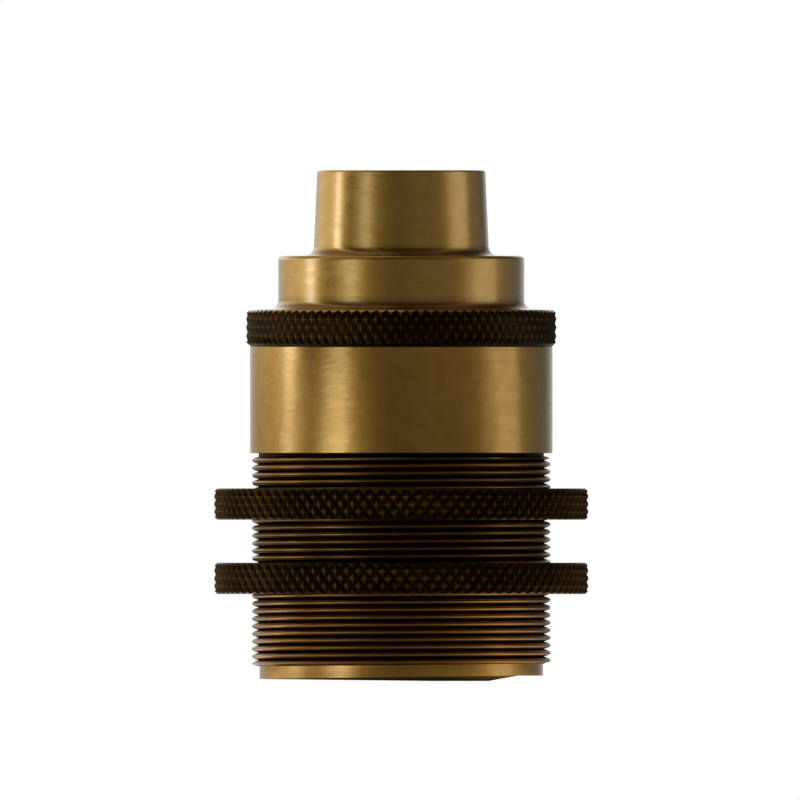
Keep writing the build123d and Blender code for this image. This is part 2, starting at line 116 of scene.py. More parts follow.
def add_node(
    tree: bpy.types.NodeTree,
    kind: str,
    inputs: Optional[dict[Union[str, int], SocketValue]] = None,
    **settings: object,
) -> bpy.types.Node:
    """Add a node with its settings, its socket values and its links.

    Args:
        tree: Node tree that takes the node.
        kind: Blender's name of the node type, without its leading "ShaderNode".
        inputs: Value or linked output for each named or numbered input.
        **settings: Properties of the node.

    Returns:
        The new node.
    """
    node = tree.nodes.new("ShaderNode" + kind)
    for name, value in settings.items():
        setattr(node, name, value)
    for socket, value in (inputs or {}).items():
        if isinstance(value, bpy.types.NodeSocket):
            tree.links.new(value, node.inputs[socket])
        else:
            node.inputs[socket].default_value = value
    return node


def axis_distance(
    tree: bpy.types.NodeTree, place: bpy.types.NodeSocket
) -> bpy.types.NodeSocket:
    """Measure how far places lie from the turning axis.

    Args:
        tree: Node tree of the material.
        place: Place on the object.

    Returns:
        The distance in metres.
    """
    split = add_node(tree, "SeparateXYZ", {0: place}).outputs
    flat = add_node(tree, "CombineXYZ", {0: split[0], 1: split[1]}).outputs[0]
    return add_node(tree, "VectorMath", {0: flat}, operation="LENGTH").outputs["Value"]


def wound_noise(
    tree: bpy.types.NodeTree,
    place: bpy.types.NodeSocket,
    around: float,
    along: float,
    detail: float,
    roughness: float = 0.5,
) -> bpy.types.NodeSocket:
    """Lay noise that is stretched across the axis.

    Args:
        tree: Node tree of the material.
        place: Place that the noise is read at.
        around: Size of a patch across the axis, in millimetres.
        along: Size of a patch along the axis, in millimetres.
        detail: Number of finer layers in it.
        roughness: Strength of each finer layer against the one before.

    Returns:
        The level of the noise.
    """
    across = 1 / (around * MM)
    scale = (across, across, 1 / (along * MM))
    stretched = add_node(tree, "Mapping", {0: place, "Scale": scale}).outputs[0]
    settings = {0: stretched, "Scale": 1.0, "Detail": detail, "Roughness": roughness}
    return add_node(tree, "TexNoise", settings).outputs[0]


def layered(
    tree: bpy.types.NodeTree, base: str, layers: Sequence[tuple[bpy.types.NodeSocket, str]]
) -> bpy.types.NodeSocket:
    """Lay colours over each other.

    Args:
        tree: Node tree of the material.
        base: Hex colour underneath.
        layers: Share and hex colour of each layer, the lowest first.

    Returns:
        The colour that shows.
    """
    tone: SocketValue = linear(base)
    for share, colour in layers:
        sockets = {MIX_FACTOR: share, MIX_A: tone, MIX_B: linear(colour)}
        tone = add_node(tree, "Mix", sockets, data_type="RGBA").outputs[MIX_RESULT]
    return tone


def plain_view(tree: bpy.types.NodeTree) -> bpy.types.NodeSocket:
    """Tell the camera's own view of a surface from what other surfaces see of it.

    Args:
        tree: Node tree of the world or the floor.

    Returns:
        One where the camera looks straight or through glass at the surface, else zero.
    """
    path = add_node(tree, "LightPath").outputs
    rays = {0: path["Is Camera Ray"], 1: path["Is Transmission Ray"]}
    return add_node(tree, "Math", rays, operation="MAXIMUM").outputs[0]


class ThreadForm(Enum):
    """Section of one turn of a thread, as (share of the pitch, share of the depth) points.

    LOBED bulges like the skirt's worn turns, CUT is a plain cut thread with flat roots, and
    ROLLED is the wave of a lamp thread.
    """

    LOBED = (
        (0.0, 0.0),
        (0.03, 0.12),
        (0.075, 0.30),
        (0.135, 0.52),
        (0.21, 0.72),
        (0.30, 0.87),
        (0.40, 0.97),
        (0.50, 1.0),
        (0.60, 0.97),
        (0.70, 0.87),
        (0.79, 0.72),
        (0.865, 0.52),
        (0.925, 0.30),
        (0.97, 0.12),
    )
    CUT = ((0.0, 0.0), (0.12, 0.0), (0.46, 1.0), (0.54, 1.0), (0.88, 0.0))
    ROLLED = tuple((step / 12, 0.5 - 0.5 * math.cos(math.tau * step / 12)) for step in range(12))


@dataclass(frozen=True)
class Thread:
    """Screw thread whose ends fade into plain rings.

    Attributes:
        root: Radius between the turns.
        crest: Radius over the turns.
        pitch: Rise of one turn.
        bottom: Height of the lower end.
        top: Height of the upper end.
        bottom_radius: Radius of the plain ring at the lower end.
        top_radius: Radius of the plain ring at the upper end.
        form: Section of a turn.
        fade: Height over which an end grows to the full section.
        offset: Share of a pitch by which the turns are raised.
        lean: Rise of the lower end's ring from the axis to its +X side.
    """

    root: float
    crest: float
    pitch: float
    bottom: float
    top: float
    bottom_radius: float
    top_radius: float
    form: ThreadForm = ThreadForm.CUT
    fade: float = 0.5
    offset: float = 0.0
    lean: float = 0.0

    def radius(self, share: float, height: float, bottom: float) -> float:
        """Radius of the thread's surface.

        Args:
            share: Share of the thread's depth at this place of its section.
            height: Height along the axis.
            bottom: Height of the lower end's ring at this bearing.

        Returns:
            Radius in millimetres.
        """
        cut = self.root + (self.crest - self.root) * share
        below = min(1.0, (height - bottom) / self.fade)
        above = min(1.0, (self.top - height) / self.fade)
        radius = self.bottom_radius + (cut - self.bottom_radius) * below
        return self.top_radius + (radius - self.top_radius) * above

    def points(self, row: int, column: int) -> tuple[float, float]:
        """Radius and height of one point of the helical strip.

        Args:
            row: Row of the strip, counted up from below the thread's lower end.
            column: Column round the axis.

        Returns:
            Radius and height in millimetres.
        """
        turn, place = divmod(row, len(self.form.value))
        along, share = self.form.value[place]
        turns = turn - TURNS_BELOW + along + self.offset + column / COLUMNS
        bottom = self.bottom + self.lean * math.cos(math.tau * column / COLUMNS)
        height = min(self.top, max(bottom, self.bottom + self.pitch * turns))
        return self.radius(share, height, bottom), height

    def rows(self) -> int:
        """Number of rows that cover the thread from end to end."""
        turns = math.ceil((self.top - self.bottom) / self.pitch) + TURNS_SPARE
        return turns * len(self.form.value)


@dataclass(frozen=True)
class Corner:
    """Corner of a turned section, rounded by the given radius."""

    radius: float
    height: float
    round: float = 0.0


def rounded(corners: Sequence[Corner]) -> Section:
    """Lay a section line through corners, with an arc at each one that is rounded.

    Args:
        corners: Corners in order; the first and last are its ends.

    Returns:
        Points of the line as (radius, height).
    """
    line: Section = []
    for index, corner in enumerate(corners):
        at = Vector((corner.radius, corner.height))
        if corner.round == 0 or index in (0, len(corners) - 1):
            line.append((at.x, at.y))
            continue
        before, after = corners[index - 1], corners[index + 1]
        back = (Vector((before.radius, before.height)) - at).normalized()
        ahead = (Vector((after.radius, after.height)) - at).normalized()
        half = back.angle(ahead) / 2
        centre = at + (back + ahead).normalized() * corner.round / math.sin(half)
        start = (at + back * corner.round / math.tan(half) - centre).normalized()
        end = (at + ahead * corner.round / math.tan(half) - centre).normalized()
        for step in range(ARC_STEPS + 1):
            spoke = start.slerp(end, step / ARC_STEPS) * corner.round
            line.append((centre.x + spoke.x, centre.y + spoke.y))
    return line


class TurnedMesh:
    """Mesh made of surfaces about the turning axis, welded where they meet."""

    def __init__(self) -> None:
        """Start with an empty mesh."""
        self.mesh = bmesh.new()

    def point(self, radius: float, half_step: float, height: float) -> bmesh.types.BMVert:
        """Add one point.

        Args:
            radius: Distance from the axis.
            half_step: Angle from +X, in half steps of a knurling tooth.
            height: Height along the axis.

        Returns:
            The new vertex.
        """
        angle = half_step * math.pi / KNURL_TEETH
        return self.mesh.verts.new((radius * math.cos(angle), radius * math.sin(angle), height))

    def face(self, corners: Sequence[bmesh.types.BMVert], finish: int) -> None:
        """Add one face with the finish of the given number."""
        self.mesh.faces.new(corners).material_index = finish

    def ring(self, radius: float, height: float, flats: bool) -> list[bmesh.types.BMVert]:
        """Add one ring of points.

        Args:
            radius: Distance from the axis.
            height: Height along the axis.
            flats: True where the ring has a straight side for each tooth.

        Returns:
            The ring's vertices in order.
        """
        inset = math.cos(math.pi / KNURL_TEETH) if flats else 1.0
        return [
            self.point(radius * (inset if column % 2 == 0 else 1.0), column, height)
            for column in range(COLUMNS)
        ]

    def surface(
        self, section: Section, finish: int = 0, flat_start: bool = False, flat_end: bool = False
    ) -> None:
        """Turn a section line about the axis.

        Args:
            section: Points of the line.
            finish: Number of the finish.
            flat_start: True where the first ring meets a knurled edge.
            flat_end: True where the last ring meets a knurled edge.
        """
        last = len(section) - 1
        rings = [
            self.ring(*place, flats=(index == 0 and flat_start) or (index == last and flat_end))
            for index, place in enumerate(section)
        ]
        for lower, upper in zip(rings, rings[1:]):
            for column in range(COLUMNS):
                after = (column + 1) % COLUMNS
                self.face((lower[column], lower[after], upper[after], upper[column]), finish)

    def thread(self, thread: Thread, finish: int = 0) -> None:
        """Wind a thread's strip round the axis, with its ends squeezed into plain rings.

        Args:
            thread: The thread.
            finish: Number of the finish.
        """
        turn = len(thread.form.value)
        grid = []
        for row in range(thread.rows() + turn + 1):
            places = [thread.points(row, column) for column in range(COLUMNS)]
            grid.append([self.point(r, column, h) for column, (r, h) in enumerate(places)])
        for row in range(thread.rows()):
            for column in range(COLUMNS):
                wraps = column == COLUMNS - 1
                after = 0 if wraps else column + 1
                rise = turn if wraps else 0
                corners = (
                    grid[row][column],
                    grid[row + rise][after],
                    grid[row + rise + 1][after],
                    grid[row + 1][column],
                )
                self.face(corners, finish)
        unused = [vertex for ring in grid for vertex in ring if not vertex.link_faces]
        bmesh.ops.delete(self.mesh, geom=unused, context="VERTS")

    def rub_ridges(self, crest: float, width: float, finish: int) -> None:
        """Flatten the ridges that run down from points of full height.

        Args:
            crest: Radius over those points.
            width: Width of the flat.
            finish: Number of the finish on the flats.
        """
        tips = {v for v in self.mesh.verts if v.co.xy.length > crest - WELD_DISTANCE}
        ridges = [edge for edge in self.mesh.edges if not tips.isdisjoint(edge.verts)]
        border = {edge for edge in self.mesh.edges if edge.is_boundary}
        bmesh.ops.bevel(
            self.mesh,
            geom=ridges,
            offset=width / 2,
            segments=1,
            affect="EDGES",
            material=finish,
        )
        gaps = [edge for edge in self.mesh.edges if edge.is_boundary and edge not in border]
        filled = bmesh.ops.holes_fill(self.mesh, edges=gaps, sides=0)
        for face in filled["faces"]:
            face.material_index = finish

    def join(self, other: "TurnedMesh") -> None:
        """Take in another mesh's faces.

        Args:
            other: The other mesh, which is freed.
        """
        spare = bpy.data.meshes.new("spare")
        other.mesh.to_mesh(spare)
        other.mesh.free()
        self.mesh.from_mesh(spare)
        bpy.data.meshes.remove(spare)

    def weld(self) -> None:
        """Merge points that meet, which drops the faces that were squeezed flat."""
        bmesh.ops.remove_doubles(self.mesh, verts=self.mesh.verts, dist=WELD_DISTANCE)

    def close(self, name: str, finishes: Sequence[bpy.types.Material]) -> bpy.types.Object:
        """Weld the surfaces into one solid and make its object.

        Args:
            name: Name of the object.
            finishes: Materials, in the order of the finish numbers.

        Returns:
            The object, in metres.
        """
        self.weld()
        bmesh.ops.recalc_face_normals(self.mesh, faces=self.mesh.faces)
        self.mesh.transform(Matrix.Scale(MM, 4))
        mesh = bpy.data.meshes.new(name)
        for finish in finishes:
            mesh.materials.append(finish)
        self.mesh.to_mesh(mesh)
        self.mesh.free()
        piece = bpy.data.objects.new(name, mesh)
        bpy.context.scene.collection.objects.link(piece)
        return piece


@dataclass(frozen=True)
class DiamondKnurl:
    """Diamond knurling between two 45 degree edge chamfers.

    Three rows of whole points lie between two of points that a chamfer cuts off.

    Attributes:
        crest: Radius over the points.
        depth: Depth of the crossing grooves.
        pitch: Height of half a diamond.
        middle: Height of the middle row of points.
        bottom_edge: Height and radius of the lower edge.
        top_edge: Height and radius of the upper edge.
        wear: Width of the flat that fingers rub on each ridge between two points' faces.
    """

    crest: float
    depth: float
    pitch: float
    middle: float
    bottom_edge: tuple[float, float]
    top_edge: tuple[float, float]
    wear: float = 0.045

    def root(self) -> float:
        """Radius at the bottom of the grooves."""
        return self.crest - self.depth

    def add_diamond(self, blank: TurnedMesh, half_step: int, row: int, finish: int) -> None:
        """Add one whole four-sided point.

        Args:
            blank: Mesh that takes the point.
            half_step: Place of its tip round the axis.
            row: Row that it is in, counted up from the middle one.
            finish: Number of the finish.
        """
        height = self.middle + row * self.pitch
        tip = blank.point(self.crest, half_step, height)
        left = blank.point(self.root(), half_step - 1, height)
        right = blank.point(self.root(), half_step + 1, height)
        below = blank.point(self.root(), half_step, height - self.pitch)
        above = blank.point(self.root(), half_step, height + self.pitch)
        for start, end in ((left, below), (below, right), (right, above), (above, left)):
            blank.face((start, end, tip), finish)

    def add_half(
        self, blank: TurnedMesh, half_step: int, side: int, finish: int, edge_finish: int
    ) -> None:
        """Add a point that the edge chamfer cuts off.

        Args:
            blank: Mesh that takes the point.
            half_step: Place of its tip round the axis.
            side: -1 at the lower edge, 1 at the upper one.
            finish: Number of the finish in the grooves.
            edge_finish: Number of the finish on the chamfer.
        """
        height, radius = self.top_edge if side > 0 else self.bottom_edge
        end = abs(height - self.middle)
        # The chamfer keeps radius plus rise the same; the point's ridge falls by its own slope.
        rise = (radius + end - self.root() + self.depth) / (1 + self.depth / self.pitch)
        tip = blank.point(radius + end - rise, half_step, self.middle + side * rise)
        inner = blank.point(self.root(), half_step, self.middle + side * self.pitch)
        groove = self.middle + side * 2 * self.pitch
        chord = radius * math.cos(math.pi / KNURL_TEETH)
        edge_middle = blank.point(chord, half_step, height)
        for turn in (-1, 1):
            corner = blank.point(self.root(), half_step + turn, groove)
            edge = blank.point(radius, half_step + turn, height)
            blank.face((inner, corner, tip), finish)
            blank.face((corner, edge, tip), finish)
            blank.face((edge, edge_middle, tip), edge_finish)

    def add_to(
        self, body: TurnedMesh, finish: int, edge_finishes: tuple[int, int], worn_finish: int
    ) -> None:
        """Cut the knurling into a body's rim.

        Args:
            body: Mesh that takes the knurling.
            finish: Number of the finish on the points.
            edge_finishes: Numbers of the finishes on the lower and the upper edge chamfer.
            worn_finish: Number of the finish on the rubbed ridges, painted paler towards the
                points as a highlight.
        """
        blank = TurnedMesh()
        for tooth in range(KNURL_TEETH):
            for row in (-1, 0, 1):
                self.add_diamond(blank, 2 * tooth + abs(row), row, finish)
            for side, edge_finish in zip((-1, 1), edge_finishes):
                self.add_half(blank, 2 * tooth, side, finish, edge_finish)
        blank.weld()
        blank.rub_ridges(self.crest, self.wear, worn_finish)
        body.join(blank)


def cut_away(piece: bpy.types.Object, tool: bpy.types.Object) -> None:
    """Cut a tool's shape out of a piece and remove the tool.

    Args:
        piece: Piece that is cut.
        tool: Closed solid that it is cut with.
    """
    cut = piece.modifiers.new("cut", "BOOLEAN")
    cut.operation = "DIFFERENCE"
    cut.solver = "MANIFOLD"
    cut.object = tool
    graph = bpy.context.evaluated_depsgraph_get()
    mesh = bpy.data.meshes.new_from_object(piece.evaluated_get(graph))
    piece.modifiers.clear()
    whole = piece.data
    piece.data = mesh
    mesh.name = piece.name
    bpy.data.meshes.remove(whole)
    bpy.data.objects.remove(tool)


def tool_from(mesh: bmesh.types.BMesh, place: Matrix) -> bpy.types.Object:
    """Make a cutting tool from a mesh in millimetres.

    Args:
        mesh: Closed mesh, which is freed.
        place: Where the tool stands, in millimetres.

    Returns:
        The tool as an object, in metres.
    """
    mesh.transform(Matrix.Scale(MM, 4) @ place)
    bmesh.ops.recalc_face_normals(mesh, faces=mesh.faces)
    data = bpy.data.meshes.new("tool")
    mesh.to_mesh(data)
    mesh.free()
    tool = bpy.data.objects.new("tool", data)
    bpy.context.scene.collection.objects.link(tool)
    return tool


def drill(radius: float, length: float, place: Matrix) -> bpy.types.Object:
    """Make a round cutting tool that starts at the origin of its place and runs along its Z.

    Args:
        radius: Radius of the hole.
        length: Depth of the hole.
        place: Where the tool stands, in millimetres.

    Returns:
        The tool.
    """
    mesh = bmesh.new()
    raised = Matrix.Translation((0, 0, length / 2))
    bmesh.ops.create_cone(
        mesh,
        cap_ends=True,
        segments=DRILL_SIDES,
        radius1=radius,
        radius2=radius,
        depth=length,
        matrix=raised,
    )
    return tool_from(mesh, place)


def prism(outline: Sequence[tuple[float, float]], width: float, place: Matrix) -> bpy.types.Object:
    """Make a cutting tool with an outline in its XZ plane and its width along Y.

    Args:
        outline: Corners as (x, z).
        width: Width, half of it on either side.
        place: Where the tool stands, in millimetres.

    Returns:
        The tool.
    """
    mesh = bmesh.new()
    near = [mesh.verts.new((x, -width / 2, z)) for x, z in outline]
    far = [mesh.verts.new((x, width / 2, z)) for x, z in outline]
    mesh.faces.new(near)
    mesh.faces.new(far)
    for index in range(len(outline)):
        after = (index + 1) % len(outline)
        mesh.faces.new((near[index], near[after], far[after], far[index]))
    return tool_from(mesh, place)


def dress(
    piece: bpy.types.Object, body: str, slot: str, *nodes: str, sharp: float = 38.0
) -> None:
    """Shade a new piece and put it on its body.

    Args:
        piece: The piece.
        body: Body that it rides on.
        slot: The record's material slot; not used.
        *nodes: Nodes that it stands for.
        sharp: Angle in degrees over which an edge shades as an edge.
    """
    piece.data.shade_smooth()
    piece.data.set_sharp_from_angle(angle=math.radians(sharp))
    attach(piece, body)
    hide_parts(*nodes)
    LOG.info("%s: %d faces on %s", piece.name, len(piece.data.polygons), body)


def repaint(frame: dict, node: str, finish: bpy.types.Material) -> None:
    """Give a carried-over node its finish.

    Args:
        frame: The loaded frame.
        node: Name of the node.
        finish: Its new material.
    """
    part = frame["nodes"][node]
    part.data.materials.clear()
    part.data.materials.append(finish)
    LOG.info("%s: kept, finished with %s", node, finish.name)


class BarrelFinish(IntEnum):
    """Place of each of the barrel's finishes in its list."""

    TURNED = 0
    SKIRT = 1
    NECK = 2
    UNDERCUT = 3
    RIM = 4


class CapFinish(IntEnum):
    """Place of each of the cap's finishes in its list."""

    TURNED = 0
    KNURL = 1
    RIDGE = 2
    ENTRY = 3
    MOUTH = 4


class RingFinish(IntEnum):
    """Place of each of a shade ring's finishes in its list."""

    KNURL = 0
    CHAMFER = 1
    RIDGE = 2
    FACE = 3


@dataclass
class Barrel:
    """Turned barrel: band, threaded skirt, plain rim, inner lip and threaded spigot.

    Attributes:
        finishes: Materials in the order of BarrelFinish.
        height: Height of the spigot's end.
        rim_top: Height of the plain rim, midway between its left and right.
        rim_lean: How much higher it is at the right, and lower at the left.
        rim_radius: Radius of the rim.
        rim_chamfer_left: Height of the lead-in at the rim's left.
        rim_chamfer_right: Height of the lead-in at its right.
        rim_rise: How far the end stands off the floor at its left.
        rim_rise_end: Distance to the right at which it touches the floor.
        flat_depth: Height of the shallow flat at the end's right.
        flat_ramp_start: Distance to the right at which the ramp to it starts.
        flat_ramp_end: Distance to the right at which the ramp reaches it.
        thread_root: Radius between the skirt's turns.
        thread_crest: Radius over them.
        skirt_pitch: Rise of a turn, 1 mm on paper and drawn as the photograph shows it.
        thread_pitch: Rise of a turn of the spigot's thread.
        thread_offset: Share of a pitch by which the skirt's turns are raised.
        thread_fade: Height over which the skirt's thread runs out at either end.
        band_bottom: Height of the smooth band's lower edge.
        band_top: Height of its upper edge.
        band_radius: Radius of the band.
        band_round: Round of its edges.
        undercut: Height of the plain groove between the thread and the band.
        neck_crest: Radius over the turns of the spigot's thread.
        neck_root: Radius between them.
        neck_relief: Height of the groove at the spigot's foot.
        neck_chamfer: Chamfer of the spigot's end.
        bore: Radius of the bore.
        lip_radius: Radius of the mouth.
        lip_top: Height of the lip that holds the porcelain.
        mouth_chamfer: Chamfer of the mouth.
        notch_width: Width of the notch at the back.
        notch_bottom: Height of its bottom.
    """

    finishes: Sequence[bpy.types.Material]
    height: float = 48.8
    rim_top: float = 2.14
    rim_lean: float = 0.17
    rim_radius: float = 19.0
    rim_chamfer_left: float = 0.3
    rim_chamfer_right: float = 0.78
    rim_rise: float = 0.27
    rim_rise_end: float = 3.9
    flat_depth: float = 0.72
    flat_ramp_start: float = 11.7
    flat_ramp_end: float = 15.6
    thread_root: float = 19.1
    thread_crest: float = 20.0
    skirt_pitch: float = 1.01
    thread_pitch: float = 1.0
    thread_offset: float = 0.135
    thread_fade: float = 0.25
    band_bottom: float = 30.5
    band_top: float = 44.8
    band_radius: float = 20.26
    band_round: float = 0.12
    undercut: float = 0.35
    neck_crest: float = 18.6
    neck_root: float = 18.05
    neck_relief: float = 0.45
    neck_chamfer: float = 0.4
    bore: float = 17.4
    lip_radius: float = 15.2
    lip_top: float = 3.0
    mouth_chamfer: float = 0.8
    notch_width: float = 4.2
    notch_bottom: float = 45.4

    def outside(self, body: TurnedMesh) -> None:
        """Turn the rim, the skirt's thread and the band.

        Args:
            body: Mesh that takes the surfaces.
        """
        skirt = Thread(
            root=self.thread_root,
            crest=self.thread_crest,
            pitch=self.skirt_pitch,
            bottom=self.rim_top,
            top=self.band_bottom - self.undercut,
            bottom_radius=self.thread_root,
            top_radius=self.thread_root,
            form=ThreadForm.LOBED,
            fade=self.thread_fade,
            offset=self.thread_offset,
            lean=self.rim_lean,
        )
        rim = [
            Corner(self.lip_radius + self.mouth_chamfer, 0),
            Corner(self.rim_radius, 0),
            Corner(self.rim_radius, self.rim_top),
            Corner(self.thread_root, self.rim_top),
        ]
        body.surface(rounded(rim), BarrelFinish.RIM)
        # The rim's upper edge leans before the thread is wound on it, so that they meet.
        for point in body.mesh.verts:
            if point.co.z > self.rim_top - WELD_DISTANCE:
                point.co.z += self.rim_lean * point.co.x / point.co.xy.length
        body.thread(skirt, BarrelFinish.SKIRT)
        root = [
            Corner(self.thread_root, self.band_bottom - self.undercut),
            Corner(self.thread_root, self.band_bottom),
        ]
        body.surface(rounded(root), BarrelFinish.UNDERCUT)
        band = [
            Corner(self.thread_root, self.band_bottom),
            Corner(self.band_radius, self.band_bottom, self.band_round),
            Corner(self.band_radius, self.band_top, self.band_round),
            Corner(self.neck_root, self.band_top),
        ]
        body.surface(rounded(band))

    def neck(self, body: TurnedMesh) -> None:
        """Turn the spigot's relief groove and thread.

        Args:
            body: Mesh that takes the surfaces.
        """
        start = self.band_top + self.neck_relief
        end = self.height - self.neck_chamfer
        relief = [
            Corner(self.neck_root, self.band_top),
            Corner(self.neck_root, start),
        ]
        body.surface(rounded(relief), BarrelFinish.NECK)
        spigot = Thread(
            root=self.neck_root,
            crest=self.neck_crest,
            pitch=self.thread_pitch,
            bottom=start,
            top=end,
            bottom_radius=self.neck_root,
            top_radius=self.neck_crest,
        )
        body.thread(spigot, BarrelFinish.NECK)

    def inside(self, body: TurnedMesh) -> None:
        """Turn the spigot's end, the bore and the lip that holds the porcelain.

        Args:
            body: Mesh that takes the surfaces.
        """
        bore = [
            Corner(self.neck_crest, self.height - self.neck_chamfer),
            Corner(self.neck_crest - self.neck_chamfer, self.height),
            Corner(self.bore, self.height),
            Corner(self.bore, self.lip_top),
            Corner(self.lip_radius, self.lip_top),
            Corner(self.lip_radius, self.mouth_chamfer),
            Corner(self.lip_radius + self.mouth_chamfer, 0),
        ]
        body.surface(rounded(bore))

    def rim_chamfer_tool(self) -> bpy.types.Object:
        """Make the cutter of the rim's lead-in, which widens from left to right.

        Returns:
            Ring outside a tilted cone.
        """
        middle = (self.rim_chamfer_left + self.rim_chamfer_right) / 2
        growth = self.rim_chamfer_right - self.rim_chamfer_left
        tilt = math.atan(growth / (2 * self.rim_radius))
        far = self.rim_radius + PAST
        ring = TurnedMesh()
        ring.surface([(far, PAST), (far, -2 * PAST), (far - 3 * PAST, -2 * PAST), (far, PAST)])
        ring.weld()
        tilted = Matrix.Translation((0, 0, middle)) @ Matrix.Rotation(-tilt, 4, "Y")
        return tool_from(ring.mesh, tilted)

    def rim_flat_tool(self) -> bpy.types.Object:
        """Make the cutter of the shallow flat and its ramp at the right of the rim.

        Returns:
            Prism under both.
        """
        far = self.rim_radius + PAST
        outline = (
            (self.flat_ramp_start, 0),
            (self.flat_ramp_end, self.flat_depth),
            (far, self.flat_depth),
            (far, -PAST),
            (self.flat_ramp_start, -PAST),
        )
        return prism(outline, 2 * far, Matrix.Identity(4))

    def rim_rise_tool(self) -> bpy.types.Object:
        """Make the cutter of the rim's left, whose end isn't quite square.

        Returns:
            Thin wedge under it.
        """
        far = self.rim_radius + PAST
        slope = self.rim_rise / (self.rim_radius + self.rim_rise_end)
        outline = (
            (self.rim_rise_end, 0),
            (self.rim_rise_end, -PAST),
            (-far, -PAST),
            (-far, slope * (far + self.rim_rise_end)),
        )
        return prism(outline, 2 * far, Matrix.Identity(4))

    def notch_tool(self) -> bpy.types.Object:
        """Make the cutter of the notch for the porcelain's lug at the back.

        Returns:
            Block as wide as the notch.
        """
        half = self.notch_width / 2
        high = self.height + PAST
        low = self.notch_bottom
        outline = ((-half, low), (half, low), (half, high), (-half, high))
        width = self.neck_crest - self.bore + 2 * PAST
        middle = (self.neck_crest + self.bore) / 2
        return prism(outline, width, Matrix.Translation((0, middle, 0)))

    def build(self) -> None:
        """Turn the barrel, mill its rim and notch, and dress it."""
        body = TurnedMesh()
        self.outside(body)
        self.neck(body)
        self.inside(body)
        piece = body.close("barrel_turned", self.finishes)
        tools = (
            self.rim_chamfer_tool(),
            self.rim_flat_tool(),
            self.rim_rise_tool(),
            self.notch_tool(),
        )
        for tool in tools:
            cut_away(piece, tool)
        dress(piece, "barrel", "antique_brass", "barrel")


